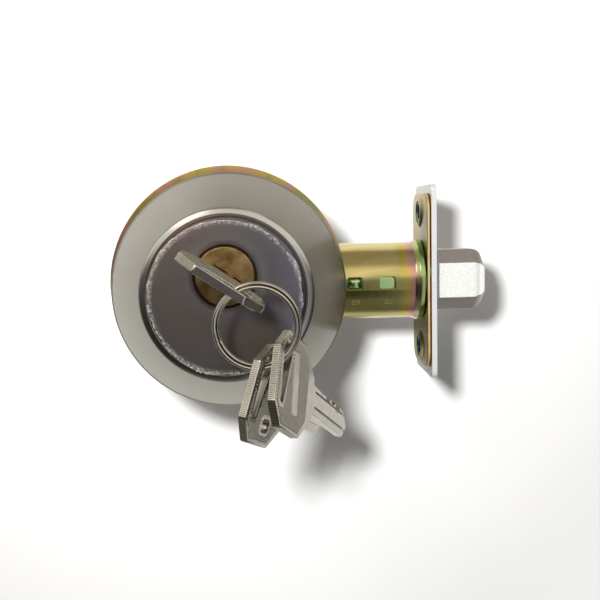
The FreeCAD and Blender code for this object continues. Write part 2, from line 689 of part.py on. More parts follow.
inner_rose = turned("Y", (
    ("0", ROSE_IN),
    ("rose_radius - 9", ROSE_IN),
    ("rose_radius - 4", ROSE_IN + " - 1"),
    ("rose_radius - 1", ROSE_IN + " - 3.5"),
    ("rose_radius", ROSE_IN + " - 6"),
    ("rose_radius", INSIDE),
    ("rose_radius - rose_wall", INSIDE),
    ("rose_radius - rose_wall", ROSE_IN + " - 6"),
    ("rose_radius - 5", ROSE_IN + " - 1 - rose_wall"),
    ("rose_radius - 9.5", ROSE_IN + " - rose_wall"),
    ("0", ROSE_IN + " - rose_wall"),
))
node("interior_rose", cut(inner_rose, rod("Y", "shaft_radius + gap", "0", "door_thickness", z=AXIS_Z)))
SHAFT_START = "(%s - 5.6)" % ROSE_IN
TURN_FOOT = "(%s + washer_plate + 0.2)" % ROSE_IN
CLIP_IN = "(%s - rose_wall - 0.2 - clip_plate)" % ROSE_IN
shaft = cut(
    rod("Y", "shaft_radius", SHAFT_START, TURN_FOOT, z=AXIS_Z),
    block(("-tail_plate / 2 - 0.1", "tail_plate / 2 + 0.1"), (SHAFT_START + " - 1", TAIL_END + " + 0.2"),
          ("spindle_rise - tail_width / 2 - 0.1", "spindle_rise + tail_width / 2 + 0.1")),
    cut(rod("Y", "shaft_radius + 1", CLIP_IN, CLIP_IN + " + clip_plate", z=AXIS_Z),
        rod("Y", "shaft_radius - 0.7", CLIP_IN + " - 1", CLIP_IN + " + 3", z=AXIS_Z)))
node("turn_shaft", turn_about_spindle(shaft))
turn_clip = cut(
    rod("Y", "shaft_radius + 2.4", CLIP_IN, CLIP_IN + " + clip_plate", z=AXIS_Z),
    rod("Y", "shaft_radius - 0.65", CLIP_IN + " - 1", CLIP_IN + " + 3", z=AXIS_Z),
    block(("-2.6", "2.6"), (CLIP_IN + " - 1", CLIP_IN + " + 3"), ("spindle_rise", "spindle_rise + 12")))
node("turn_clip", turn_about_spindle(turn_clip))
node("turn_washer", turn_about_spindle(cut(
    rod("Y", "turn_base - 1.4", ROSE_IN + " + 0.1", ROSE_IN + " + 0.1 + washer_plate", z=AXIS_Z),
    rod("Y", "shaft_radius + 0.05", ROSE_IN + " - 1", ROSE_IN + " + 3", z=AXIS_Z))))
KNOB_TOP = "(%s + 2.2 + turn_deep)" % TURN_FOOT
grip = plate("XZ_Plane", (
    ("-turn_thick / 2", "spindle_rise - turn_reach / 2"),
    ("turn_thick / 2", "spindle_rise - turn_reach / 2"),
    ("turn_thick / 2", "spindle_rise + turn_reach / 2"),
    ("-turn_thick / 2", "spindle_rise + turn_reach / 2"),
), TURN_FOOT + " + 2.2", KNOB_TOP, corner="turn_thick / 2 - 0.4")
node("thumb_turn", turn_about_spindle(join(
    rod("Y", "turn_base", TURN_FOOT, TURN_FOOT + " + 2.4", z=AXIS_Z), grip)))


# Keys. A key is drawn flat: X runs from the bow's far end to the tip, the cuts face -Y.
TIP = "(bow_long + blade_long)"
SHOULDER = "bow_long"
SLOT_POINTS = (
    ("2.4", "-bow_wide / 2 + 3.2"),
    ("7.6", "-bow_wide / 2 + 3.2"),
    ("4.6", "bow_wide / 2 - 5.6"),
    ("3.0", "bow_wide / 2 - 5.6"),
)


def key(hole):
    bow = plate("XY_Plane", (
        ("0", "-bow_wide / 2 + 4.8"),
        ("4.4", "-bow_wide / 2"),
        ("bow_long - 7.5", "-bow_wide / 2"),
        ("bow_long - 1.2", "-blade_foot - 2.2"),
        (SHOULDER, "-blade_foot - 1.4"),
        (SHOULDER, "blade_top + 1.4"),
        ("bow_long - 1.2", "blade_top + 2.4"),
        ("bow_long - 7.5", "bow_wide / 2"),
        ("4.4", "bow_wide / 2"),
        ("0", "bow_wide / 2 - 4.8"),
    ), "-key_plate / 2", "key_plate / 2", corner="1")
    edge = [(SHOULDER + " - 2", "blade_top"), (SHOULDER + " - 2", "-blade_foot")]
    for index, depth_of_cut in enumerate(CUTS):
        centre = "(%s + key_stand + pin_first + %d * pin_pitch)" % (SHOULDER, index)
        for side in ("-", "+"):
            edge.append(("%s %s (pin_radius + 0.05)" % (centre, side), "-blade_foot + %.2f" % depth_of_cut))
        if index < len(CUTS) - 1:
            edge.append((centre + " + pin_pitch / 2", "-blade_foot + 0.2"))
    edge += [(TIP + " - 2.2", "-blade_foot + 1.6"), (TIP, "0.4"), (TIP + " - 3", "blade_top")]
    blade = plate("XY_Plane", edge, "-key_plate / 2", "key_plate / 2")
    slot = plate("XY_Plane", SLOT_POINTS, "-key_plate", "key_plate", corner="0.7")
    tools = [slot]
    for side, (low, high) in ((1, (-1.0, 0.2)), (-1, (1.2, 2.2))):
        layer = ("key_plate / 2 - 0.5", "key_plate") if side > 0 else ("-key_plate", "-key_plate / 2 + 0.5")
        tools.append(block((SHOULDER + " + 1.5", TIP + " + 1"), (str(low), str(high)), layer))
    if hole:
        tools.append(plate("XY_Plane", (
            ("9.4", "bow_wide / 2 - 6.4"),
            ("14", "bow_wide / 2 - 6.4"),
            ("14", "bow_wide / 2 - 3.2"),
            ("9.4", "bow_wide / 2 - 3.2"),
        ), "-key_plate", "key_plate", corner="1.4"))
    return cut(join(bow, blade), *tools)


def aim_key(thing, length_way, width_way, cross, crossing):
    """Lay a flat key so that the ring's wire crosses it where its slot is."""
    along = FreeCAD.Vector(*length_way).normalize()
    side = FreeCAD.Vector(*width_way)
    side = (side - along * side.dot(along)).normalize()
    turn = FreeCAD.Rotation(along, side, along.cross(side), "XYZ")
    thing.Placement = FreeCAD.Placement(crossing - turn.multVec(FreeCAD.Vector(*cross)), turn)
    return thing


size = {alias: dims.get(alias) for alias, value in SIZES}
face = -size["door_thickness"] / 2 - size["ring_plate"] - size["rose_depth"] - size["face_proud"]
turn_angle = math.radians(size["key_turn"])
spindle = FreeCAD.Vector(0, 0, size["spindle_rise"])
bow_way = FreeCAD.Vector(math.sin(turn_angle), 0, -math.cos(turn_angle))

# The key in the lock: its shoulder stands a little off the plug, its cuts face the pins.
RING_CROSS = (5.0, -3.8, 0.0)
shoulder = face - size["key_stand"]
crossing = spindle + bow_way * (-RING_CROSS[1]) + FreeCAD.Vector(0, shoulder - size["bow_long"] + RING_CROSS[0], 0)
node("key_in_lock", aim_key(key(False), (0, 1, 0), tuple(-bow_way), RING_CROSS, crossing))

# The split ring passes through every bow.
INSERTED_AT = math.radians(121.6)
ring_centre = crossing - FreeCAD.Vector(math.cos(INSERTED_AT), 0, math.sin(INSERTED_AT)) * size["ring_mean"]
ring = doc.addObject("Part::Torus", "Ring")
ring.Placement = FreeCAD.Placement(ring_centre, FreeCAD.Rotation(FreeCAD.Vector(1, 0, 0), 90))
bind(ring, "Radius1", "ring_mean")
bind(ring, "Radius2", "ring_wire")
node("key_ring", ring)


def ring_point(degrees):
    angle = math.radians(degrees)
    return ring_centre + FreeCAD.Vector(math.cos(angle), 0, math.sin(angle)) * size["ring_mean"]


node("key_two", aim_key(key(True), (0.357, 0.851, -0.384), (-0.287, -0.291, -0.913),
                        (5.0, -6.2, 0.0), ring_point(-80)))
node("key_three", aim_key(key(False), (0.37, 0.80, -0.47), (-0.135, -0.455, -0.881),
                          (5.0, -5.2, 0.0), ring_point(-49)))

doc.recompute()
for item in doc.Objects:
    if "Invalid" in item.State or "Error" in item.State:
        raise RuntimeError("%s (%s) did not compute" % (item.Label, item.Name))
for item in NODES:
    if item.Shape.isNull() or not item.Shape.isValid():
        raise RuntimeError("%s has no valid shape" % item.Label)

os.makedirs("parts", exist_ok=True)
for item in NODES:
    item.Shape.exportStep("parts/%s.step" % item.Label)
print("%d nodes written" % len(NODES))
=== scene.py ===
import math
import random

import bmesh
import bpy
from mathutils import Matrix, Vector


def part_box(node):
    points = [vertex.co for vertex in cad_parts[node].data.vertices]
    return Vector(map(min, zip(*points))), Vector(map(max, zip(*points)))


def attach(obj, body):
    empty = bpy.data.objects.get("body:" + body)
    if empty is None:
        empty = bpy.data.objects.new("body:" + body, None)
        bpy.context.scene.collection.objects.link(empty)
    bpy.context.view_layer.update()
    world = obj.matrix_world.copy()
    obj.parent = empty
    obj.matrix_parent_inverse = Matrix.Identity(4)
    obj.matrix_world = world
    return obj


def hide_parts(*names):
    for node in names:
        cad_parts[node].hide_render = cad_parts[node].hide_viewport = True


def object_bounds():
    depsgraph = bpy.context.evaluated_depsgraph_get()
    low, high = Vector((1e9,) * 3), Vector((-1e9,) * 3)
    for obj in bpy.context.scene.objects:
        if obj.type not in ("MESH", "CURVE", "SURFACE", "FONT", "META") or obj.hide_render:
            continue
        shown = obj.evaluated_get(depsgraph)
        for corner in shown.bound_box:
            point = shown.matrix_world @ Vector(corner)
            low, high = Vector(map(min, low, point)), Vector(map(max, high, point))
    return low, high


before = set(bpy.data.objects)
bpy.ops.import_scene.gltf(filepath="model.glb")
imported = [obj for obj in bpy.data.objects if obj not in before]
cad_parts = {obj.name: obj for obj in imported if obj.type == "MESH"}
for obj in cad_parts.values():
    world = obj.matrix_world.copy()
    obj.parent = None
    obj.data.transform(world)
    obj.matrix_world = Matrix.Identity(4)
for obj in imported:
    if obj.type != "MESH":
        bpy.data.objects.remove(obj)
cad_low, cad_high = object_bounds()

# The stage: the lock stands in front of a plain white sheet, as if it lay on a table and was seen
# from above. Two soft lights do the work: a small one that throws the shadow down to the right
# and stays out of the reflections, and a large one high on the left that the metal also shows.
MM = 0.001


def linear(colour):
    """An sRGB hex colour as linear red, green, blue and alpha."""
    parts = [int(colour[i:i + 2], 16) / 255 for i in (1, 3, 5)]
    return [c / 12.92 if c <= 0.04045 else ((c + 0.055) / 1.055) ** 2.4 for c in parts] + [1.0]


def add_node(tree, kind, settings=None, links=None):
    """Add a node. A setting is an attribute, or the value of an input by its name or number."""
    node = tree.nodes.new(kind)
    for name, value in (settings or {}).items():
        if isinstance(name, str) and hasattr(node, name):
            setattr(node, name, value)
        else:
            node.inputs[name].default_value = value
    for name, source in (links or {}).items():
        tree.links.new(source, node.inputs[name])
    return node


def set_ramp(node, stops):
    """Give a Color Ramp its stops, each a place and a colour."""
    ramp = node.color_ramp
    while len(ramp.elements) > 2:
        ramp.elements.remove(ramp.elements[-1])
    while len(ramp.elements) < len(stops):
        ramp.elements.new(1.0)
    for element, (place, colour) in zip(ramp.elements, stops):
        element.position = place
        element.color = linear(colour)
    return node


def put_in_scene(name, data):
    thing = bpy.data.objects.new(name, data)
    bpy.context.scene.collection.objects.link(thing)
    return thing


camera = put_in_scene("camera", bpy.data.cameras.new("camera"))
camera.data.sensor_width = 36
camera.data.lens = 48.54
camera.data.clip_start = 0.01
camera.location = (0.0113, -0.246, 0.0204)
CAMERA_TURN = math.radians(-2.1)
CAMERA_TILT = math.radians(84.0)
CAMERA_ROLL = math.radians(-1.3)
camera.rotation_euler = (Matrix.Rotation(CAMERA_TURN, 3, "Z") @ Matrix.Rotation(CAMERA_TILT, 3, "X")
                         @ Matrix.Rotation(CAMERA_ROLL, 3, "Z")).to_euler()
bpy.context.scene.camera = camera
bpy.context.scene.view_settings.view_transform = "Standard"

SHEET_HALF = 260 * MM
SHEET_FADE = 150 * MM
SHEET_GAP = 1.5 * MM
sheet_y = cad_high.y + SHEET_GAP
sheet_mesh = bpy.data.meshes.new("backdrop")
sheet_mesh.from_pydata(
    [(x * SHEET_HALF, sheet_y, z * SHEET_HALF) for x, z in ((-1, -1), (1, -1), (1, 1), (-1, 1))],
    [], [(0, 1, 2, 3)])
backdrop = put_in_scene("backdrop", sheet_mesh)
paper = bpy.data.materials.new("matt_white_card")
paper.use_nodes = True
paper.node_tree.nodes.clear()
card = add_node(paper.node_tree, "ShaderNodeBsdfDiffuse", {"Color": linear("#fbfbfa")})
clear = add_node(paper.node_tree, "ShaderNodeBsdfTransparent")
card_place = add_node(paper.node_tree, "ShaderNodeTexCoord")
card_flat = add_node(paper.node_tree, "ShaderNodeVectorMath", {"operation": "MULTIPLY", 1: (1, 0, 1)},
                     {0: card_place.outputs["Object"]})
card_reach = add_node(paper.node_tree, "ShaderNodeVectorMath", {"operation": "LENGTH"},
                      {0: card_flat.outputs[0]})
card_fade = add_node(paper.node_tree, "ShaderNodeMapRange",
                     {"From Min": SHEET_FADE, "From Max": SHEET_HALF, "To Min": 0, "To Max": 1},
                     {"Value": card_reach.outputs["Value"]})
card_side = add_node(paper.node_tree, "ShaderNodeNewGeometry")
card_hidden = add_node(paper.node_tree, "ShaderNodeMath", {"operation": "MAXIMUM"},
                       {0: card_fade.outputs[0], 1: card_side.outputs["Backfacing"]})
card_mix = add_node(paper.node_tree, "ShaderNodeMixShader", {},
                    {0: card_hidden.outputs[0], 1: card.outputs[0], 2: clear.outputs[0]})
add_node(paper.node_tree, "ShaderNodeOutputMaterial", {}, {"Surface": card_mix.outputs[0]})
sheet_mesh.materials.append(paper)

# The room round the stage: white where it is looked at, and layered light and dark where the metal
# reflects it, so that round parts show bands as they do in a room with a window.
world = bpy.data.worlds.new("studio")
bpy.context.scene.world = world
world.use_nodes = True
room = world.node_tree
room.nodes.clear()
room_way = add_node(room, "ShaderNodeTexCoord")
room_axes = add_node(room, "ShaderNodeSeparateXYZ", {}, {0: room_way.outputs["Generated"]})
room_height = add_node(room, "ShaderNodeMapRange", {"From Min": -1, "From Max": 1},
                       {"Value": room_axes.outputs["Z"]})
room_front = set_ramp(add_node(room, "ShaderNodeValToRGB", {}, {0: room_height.outputs[0]}), (
    (0.00, "#726f67"),
    (0.09, "#6f6f68"),
    (0.16, "#272420"),
    (0.38, "#2b2623"),
    (0.47, "#4a474d"),
    (0.56, "#5a585c"),
    (0.64, "#fffaf0"),
    (0.80, "#f4f0ea"),
    (0.90, "#98938a"),
    (1.00, "#98958f"),
))
room_across = add_node(room, "ShaderNodeMapRange", {"From Min": -1, "From Max": 1},
                       {"Value": room_axes.outputs["X"]})
room_window = set_ramp(add_node(room, "ShaderNodeValToRGB", {}, {0: room_across.outputs[0]}), (
    (0.55, "#000000"),
    (0.60, "#d0d4de"),
    (0.70, "#d8dce6"),
    (0.76, "#000000"),
))
room_lit = add_node(room, "ShaderNodeMix", {"data_type": "RGBA", "blend_type": "LIGHTEN", 0: 1.0},
                    {6: room_front.outputs[0], 7: room_window.outputs[0]})
room_round = add_node(room, "ShaderNodeCombineXYZ", {},
                      {0: room_axes.outputs["X"], 1: room_axes.outputs["Z"]})
room_angle = add_node(room, "ShaderNodeTexGradient", {"gradient_type": "RADIAL"},
                      {0: room_round.outputs[0]})
room_side = set_ramp(add_node(room, "ShaderNodeValToRGB", {}, {0: room_angle.outputs["Fac"]}), (
    (0.00, "#8c877c"),
    (0.12, "#7d807b"),
    (0.25, "#6f6f6a"),
    (0.38, "#6a655f"),
    (0.45, "#4d4a39"),
    (0.56, "#4f4c3c"),
    (0.62, "#8a8178"),
    (0.76, "#8f877e"),
    (0.84, "#b3b0a7"),
    (0.92, "#a09f95"),
    (1.00, "#8c877c"),
))
room_ahead = add_node(room, "ShaderNodeMapRange", {"From Min": 0.1, "From Max": -0.4},
                      {"Value": room_axes.outputs["Y"]})
room_seen = add_node(room, "ShaderNodeMix", {"data_type": "RGBA"},
                     {0: room_ahead.outputs[0], 6: room_side.outputs[0], 7: room_lit.outputs[2]})
ray = add_node(room, "ShaderNodeLightPath")
room_light = add_node(room, "ShaderNodeBackground", {"Strength": 1.3}, {"Color": room_seen.outputs[2]})
room_white = add_node(room, "ShaderNodeBackground", {"Color": linear("#ffffff"), "Strength": 1.0})
room_fill = add_node(room, "ShaderNodeBackground", {"Color": linear("#fbfaf8"), "Strength": 0.16})
room_soft = add_node(room, "ShaderNodeMixShader", {},
                     {0: ray.outputs["Is Diffuse Ray"], 1: room_light.outputs[0], 2: room_fill.outputs[0]})
room_mix = add_node(room, "ShaderNodeMixShader", {},
                    {0: ray.outputs["Is Camera Ray"], 1: room_soft.outputs[0], 2: room_white.outputs[0]})
add_node(room, "ShaderNodeOutputWorld", {}, {"Surface": room_mix.outputs[0]})


def add_light(name, spot, target, size, watts, colour="#ffffff", in_gloss=True):
    """A round soft light aimed at a point."""
    lamp = bpy.data.lights.new(name, "AREA")
    lamp.shape = "DISK"
    lamp.size = size
    lamp.energy = watts
    lamp.color = linear(colour)[:3]
    light = put_in_scene(name, lamp)
    light.location = spot
    light.rotation_euler = (Vector(target) - Vector(spot)).to_track_quat("-Z", "Y").to_euler()
    light.visible_camera = False
    light.visible_glossy = in_gloss
    return light


add_light("shadow_light", (-0.022, -0.25, 0.052), (0.022, 0.049, -0.01), 0.026, 1.08, in_gloss=False)
add_light("window_light", (-0.30, -0.60, 0.50), (0.0, 0.0, 0.0), 0.30, 1.0, "#fff8ee")

# Exterior rose: a conical cup spun from sheet, with a rolled lip round the cylinder.
# Satin nickel on steel, brushed round and round, so the light lies in broad spokes.
ROSE_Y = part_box("exterior_rose")[1].y / MM
LIP_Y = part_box("exterior_rose")[0].y / MM
ROSE_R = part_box("exterior_rose")[1].x / MM
ROSE_STEPS = 192


def ease(corners, steps=5):
    """Round a closed outline's corners; a corner is (u, v) or (u, v, radius)."""
    outline = []
    for index, corner in enumerate(corners):
        here = Vector(corner[:2])
        if len(corner) < 3:
            outline.append(tuple(here))
            continue
        back = (Vector(corners[index - 1][:2]) - here).normalized()
        ahead = (Vector(corners[(index + 1) % len(corners)][:2]) - here).normalized()
        half = back.angle(ahead) / 2
        middle = here + (back + ahead).normalized() * corner[2] / math.sin(half)
        start = here + back * corner[2] / math.tan(half) - middle
        end = here + ahead * corner[2] / math.tan(half) - middle
        sweep = math.atan2(start.x * end.y - start.y * end.x, start.dot(end))
        for step in range(steps + 1):
            turn = Matrix.Rotation(sweep * step / steps, 2)
            outline.append(tuple(middle + turn @ start))
    return outline


def shade(mesh, sharp=30):
    """Smooth shading, with edges over the angle left crisp."""
    mesh.shade_smooth()
    mesh.set_sharp_from_angle(angle=math.radians(sharp))


def make_piece(name, points, faces, sharp=30):
    """A closed piece from points in millimetres."""
    mesh = bpy.data.meshes.new(name)
    mesh.from_pydata([[c * MM for c in point] for point in points], [], faces)
    shape = bmesh.new()
    shape.from_mesh(mesh)
    bmesh.ops.remove_doubles(shape, verts=shape.verts, dist=1e-7)
    bmesh.ops.dissolve_degenerate(shape, edges=shape.edges, dist=1e-8)
    bmesh.ops.recalc_face_normals(shape, faces=shape.faces)
    shape.to_mesh(mesh)
    shape.free()
    shade(mesh, sharp)
    return put_in_scene(name, mesh)


def lathe(name, profile, axis="Y", centre=(0, 0), steps=96, sharp=30):
    """A closed outline of (radius, distance) turned about Y or X; centre is across the axis."""
    points = []
    for step in range(steps):
        turn = 2 * math.pi * step / steps
        for radius, along in profile:
            one = centre[0] + radius * math.cos(turn)
            two = centre[1] + radius * math.sin(turn)
            points.append((one, along, two) if axis == "Y" else (along, one, two))
    count = len(profile)
    faces = []
    for step in range(steps):
        near = step * count
        far = (step + 1) % steps * count
        for index in range(count):
            after = (index + 1) % count
            faces.append((near + index, near + after, far + after, far + index))
    return make_piece(name, points, faces, sharp)


def start_finish(name, sockets):
    """A material with one Principled shader, and its tree for the patterns."""
    material = bpy.data.materials.new(name)
    material.use_nodes = True
    tree = material.node_tree
    tree.nodes.clear()
    shader = add_node(tree, "ShaderNodeBsdfPrincipled", sockets)
    add_node(tree, "ShaderNodeOutputMaterial", {}, {"Surface": shader.outputs[0]})
    return material, tree, shader


def turned_lines(tree, spacing, centre=(0, 0, 0)):
    """Noise drawn out into fine lines round the Y axis, spacing millimetres apart."""
    place = add_node(tree, "ShaderNodeTexCoord")
    shifted = add_node(tree, "ShaderNodeVectorMath", {"operation": "SUBTRACT", 1: [c * MM for c in centre]},
                       {0: place.outputs["Object"]})
    across = add_node(tree, "ShaderNodeVectorMath", {"operation": "MULTIPLY", 1: (1, 0, 1)},
                      {0: shifted.outputs[0]})
    reach = add_node(tree, "ShaderNodeVectorMath", {"operation": "LENGTH"}, {0: across.outputs[0]})
    axes = add_node(tree, "ShaderNodeSeparateXYZ", {}, {0: shifted.outputs[0]})
    angle = add_node(tree, "ShaderNodeMath", {"operation": "ARCTAN2"},
                     {0: axes.outputs["Z"], 1: axes.outputs["X"]})
    lines = add_node(tree, "ShaderNodeMath", {"operation": "MULTIPLY", 1: 1 / (spacing * MM)},
                     {0: reach.outputs["Value"]})
    depth = add_node(tree, "ShaderNodeMath", {"operation": "MULTIPLY", 1: 1 / (spacing * MM)},
                     {0: axes.outputs["Y"]})
    drawn = add_node(tree, "ShaderNodeCombineXYZ", {},
                     {0: lines.outputs[0], 1: depth.outputs[0], 2: angle.outputs[0]})
    return add_node(tree, "ShaderNodeTexNoise", {"Scale": 1.0, "Detail": 3.0, "Roughness": 0.6},
                    {"Vector": drawn.outputs[0]})


rose = lathe("rose_cup", ease((
    (ROSE_R, ROSE_Y),
    (ROSE_R, ROSE_Y - 1.2, 0.3),
    (ROSE_R - 0.5, ROSE_Y - 1.7, 0.3),
    (22.7, LIP_Y + 0.36, 1.4),
    (21.3, LIP_Y, 0.7),
    (20.5, LIP_Y + 0.1, 0.35),
    (20.5, LIP_Y + 2.2),
    (17.2, LIP_Y + 2.2),
    (17.2, LIP_Y + 3.2),
    (21.6, LIP_Y + 3.2),
    (ROSE_R - 1.5, ROSE_Y - 1.2),
    (ROSE_R - 1.5, ROSE_Y),
), 8), steps=ROSE_STEPS, sharp=40)
satin_nickel, tree, shader = start_finish("satin_nickel_brushed_round", {
    "Base Color": linear("#bbb8af"),
    "Metallic": 1.0,
    "Roughness": 0.3,
    "Anisotropic": 0.7,
    "Anisotropic Rotation": 0.25,
})
brush = turned_lines(tree, 0.12)
spin_way = add_node(tree, "ShaderNodeTangent", {"direction_type": "RADIAL", "axis": "Y"})
tree.links.new(spin_way.outputs[0], shader.inputs["Tangent"])
rough = add_node(tree, "ShaderNodeMapRange", {"To Min": 0.18, "To Max": 0.3},
                 {"Value": brush.outputs["Fac"]})
tree.links.new(rough.outputs[0], shader.inputs["Roughness"])
cloud_place = add_node(tree, "ShaderNodeTexCoord")
cloud = add_node(tree, "ShaderNodeTexNoise", {"Scale": 40.0, "Detail": 2.0},
                 {"Vector": cloud_place.outputs["Object"]})
tone = add_node(tree, "ShaderNodeMix", {"data_type": "RGBA", 6: linear("#b4b1a8"), 7: linear("#c2beb5")},
                {0: cloud.outputs["Fac"]})
streak = add_node(tree, "ShaderNodeMapRange", {"To Min": 0.93, "To Max": 1.06},
                  {"Value": brush.outputs["Fac"]})
toned = add_node(tree, "ShaderNodeVectorMath", {"operation": "SCALE"},
                 {0: tone.outputs[2], "Scale": streak.outputs[0]})
tree.links.new(toned.outputs[0], shader.inputs["Base Color"])
grain = add_node(tree, "ShaderNodeBump", {"Strength": 0.12, "Distance": 0.02 * MM},
                 {"Height": brush.outputs["Fac"]})
tree.links.new(grain.outputs[0], shader.inputs["Normal"])
rose.data.materials.append(satin_nickel)
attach(rose, "lock_body")
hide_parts("exterior_rose")

# The ring behind the rose: punched steel plate, yellow-zinc plated.
# The passivated zinc shows patches of olive, gold, rose and green, like oil on water.
ring_low, ring_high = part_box("rose_backing_ring")
ring_r = (ring_high.x - ring_low.x) / 2 / MM
ring_x = (ring_high.x + ring_low.x) / 2 / MM
ring_z = (ring_high.z + ring_low.z) / 2 / MM
backing_ring = lathe("yellow_ring", ease((
    (25, ring_high.y / MM, 0.1),
    (ring_r, ring_high.y / MM, 0.2),
    (ring_r, ring_low.y / MM, 0.2),
    (25, ring_low.y / MM, 0.1),
)), centre=(ring_x, ring_z), steps=128)


def yellow_zinc(name, patch, stops, roughness=0.28, stretch=(1, 1, 1)):
    """Yellow-passivated zinc; patch is the size of its colour patches in millimetres."""
    material, tree, shader = start_finish(name, {"Metallic": 1.0, "Roughness": roughness})
    place = add_node(tree, "ShaderNodeTexCoord")
    drawn = add_node(tree, "ShaderNodeVectorMath", {"operation": "MULTIPLY", 1: stretch},
                     {0: place.outputs["Object"]})
    patches = add_node(tree, "ShaderNodeTexNoise",
                       {"Scale": 1 / (patch * MM), "Detail": 3.0, "Roughness": 0.55, "Distortion": 0.4},
                       {"Vector": drawn.outputs[0]})
    colours = set_ramp(add_node(tree, "ShaderNodeValToRGB", {}, {0: patches.outputs["Fac"]}), stops)
    tree.links.new(colours.outputs[0], shader.inputs["Base Color"])
    fine = add_node(tree, "ShaderNodeTexNoise", {"Scale": 1 / (0.35 * MM), "Detail": 3.0},
                    {"Vector": drawn.outputs[0]})
    rough = add_node(tree, "ShaderNodeMapRange", {"To Min": roughness - 0.08, "To Max": roughness + 0.12},
                     {"Value": fine.outputs["Fac"]})
    tree.links.new(rough.outputs[0], shader.inputs["Roughness"])
    bump = add_node(tree, "ShaderNodeBump", {"Strength": 0.05, "Distance": 0.02 * MM},
                    {"Height": fine.outputs["Fac"]})
    tree.links.new(bump.outputs[0], shader.inputs["Normal"])
    return material, tree, shader, patches, colours


ring_zinc = yellow_zinc("yellow_zinc_on_ring", 14, (
    (0.30, "#8b8d5a"),
    (0.42, "#c9b45e"),
    (0.50, "#cf9a8c"),
    (0.58, "#b9a35c"),
    (0.70, "#7fa06c"),
))[0]
backing_ring.data.materials.append(ring_zinc)
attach(backing_ring, "lock_body")
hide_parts("rose_backing_ring")

# Face of the cylinder: a drawn steel cap with a satin finish, pierced for the plug off its centre.
# Smoother and darker than the rose, and brushed straight across. Its colour carries painted reflections: a
# gradient across it, a lighter ring round the plug and a warm patch below right.
shell_low, shell_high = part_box("cylinder_face_shell")
FACE_Y = shell_low.y / MM
SHELL_R = shell_high.x / MM
PLUG_R = (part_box("plug")[1].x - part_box("plug")[0].x) / 2 / MM
PLUG_Z = (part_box("plug")[1].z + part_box("plug")[0].z) / 2 / MM


def settle(piece, sharp=30):
    """Make a piece's modifiers part of its mesh."""
    graph = bpy.context.evaluated_depsgraph_get()
    piece.data = bpy.data.meshes.new_from_object(piece.evaluated_get(graph))
    piece.modifiers.clear()
    shade(piece.data, sharp)
    return piece


def carve(piece, tools, operation="DIFFERENCE", sharp=30):
    """Cut tools out of a piece, or join them to it."""
    for tool in tools:
        step = piece.modifiers.new("carve", "BOOLEAN")
        step.solver = "EXACT"
        step.operation = operation
        step.object = tool
    settle(piece, sharp)
    for tool in tools:
        bpy.data.objects.remove(tool)
    return piece


face_shell = lathe("cylinder_face", ease((
    (0, FACE_Y),
    (SHELL_R, FACE_Y, 0.7),
    (SHELL_R, shell_high.y / MM),
    (SHELL_R - 0.8, shell_high.y / MM),
    (SHELL_R - 0.8, FACE_Y + 0.8),
    (0, FACE_Y + 0.8),
), 6), steps=160)
plug_opening = lathe("plug_opening", (
    (0, FACE_Y - 1),
    (PLUG_R + 1.3, FACE_Y - 0.4),
    (PLUG_R + 0.65, FACE_Y + 0.06),
    (PLUG_R + 0.3, FACE_Y + 0.5),
    (PLUG_R + 0.3, FACE_Y + 2),
    (0, FACE_Y + 2),
), centre=(0, PLUG_Z), steps=96)
carve(face_shell, [plug_opening])
dark_satin, tree, shader = start_finish("satin_steel_face", {
    "Base Color": linear("#8d878a"),
    "Metallic": 1.0,
    "Roughness": 0.3,
    "Anisotropic": 0.35,
})
place = add_node(tree, "ShaderNodeTexCoord")
drawn = add_node(tree, "ShaderNodeVectorMath", {"operation": "MULTIPLY", 1: (0.03, 1, 1)},
                 {0: place.outputs["Object"]})
lines = add_node(tree, "ShaderNodeTexNoise", {"Scale": 1 / (0.15 * MM), "Detail": 3.0},
                 {"Vector": drawn.outputs[0]})
rough = add_node(tree, "ShaderNodeMapRange", {"To Min": 0.24, "To Max": 0.36},
                 {"Value": lines.outputs["Fac"]})
tree.links.new(rough.outputs[0], shader.inputs["Roughness"])
# Painted reflection: the face's colour shades across X, from warm grey on one side to purple grey on the
# other.
fog = add_node(tree, "ShaderNodeTexNoise", {"Scale": 1 / (22 * MM), "Detail": 2.0},
               {"Vector": place.outputs["Object"]})
face_axes = add_node(tree, "ShaderNodeSeparateXYZ", {}, {0: place.outputs["Object"]})
painted_reflection_slope = add_node(tree, "ShaderNodeMath", {"operation": "MULTIPLY_ADD", 1: 25.0},
                 {0: face_axes.outputs["X"], 2: fog.outputs["Fac"]})
painted_reflection_tone = set_ramp(add_node(tree, "ShaderNodeValToRGB", {}, {0: painted_reflection_slope.outputs[0]}), (
    (0.15, "#95827a"),
    (0.50, "#827674"),
    (0.85, "#6e6a72"),
))
# Painted highlight: a lighter ring round the plug opening, mixed into the face's colour by distance.
PAINTED_HIGHLIGHT_ROUND_PLUG = ((0, FACE_Y, PLUG_Z), (PLUG_R + 1.0, PLUG_R + 5.0), "#a19a96", 0.55)
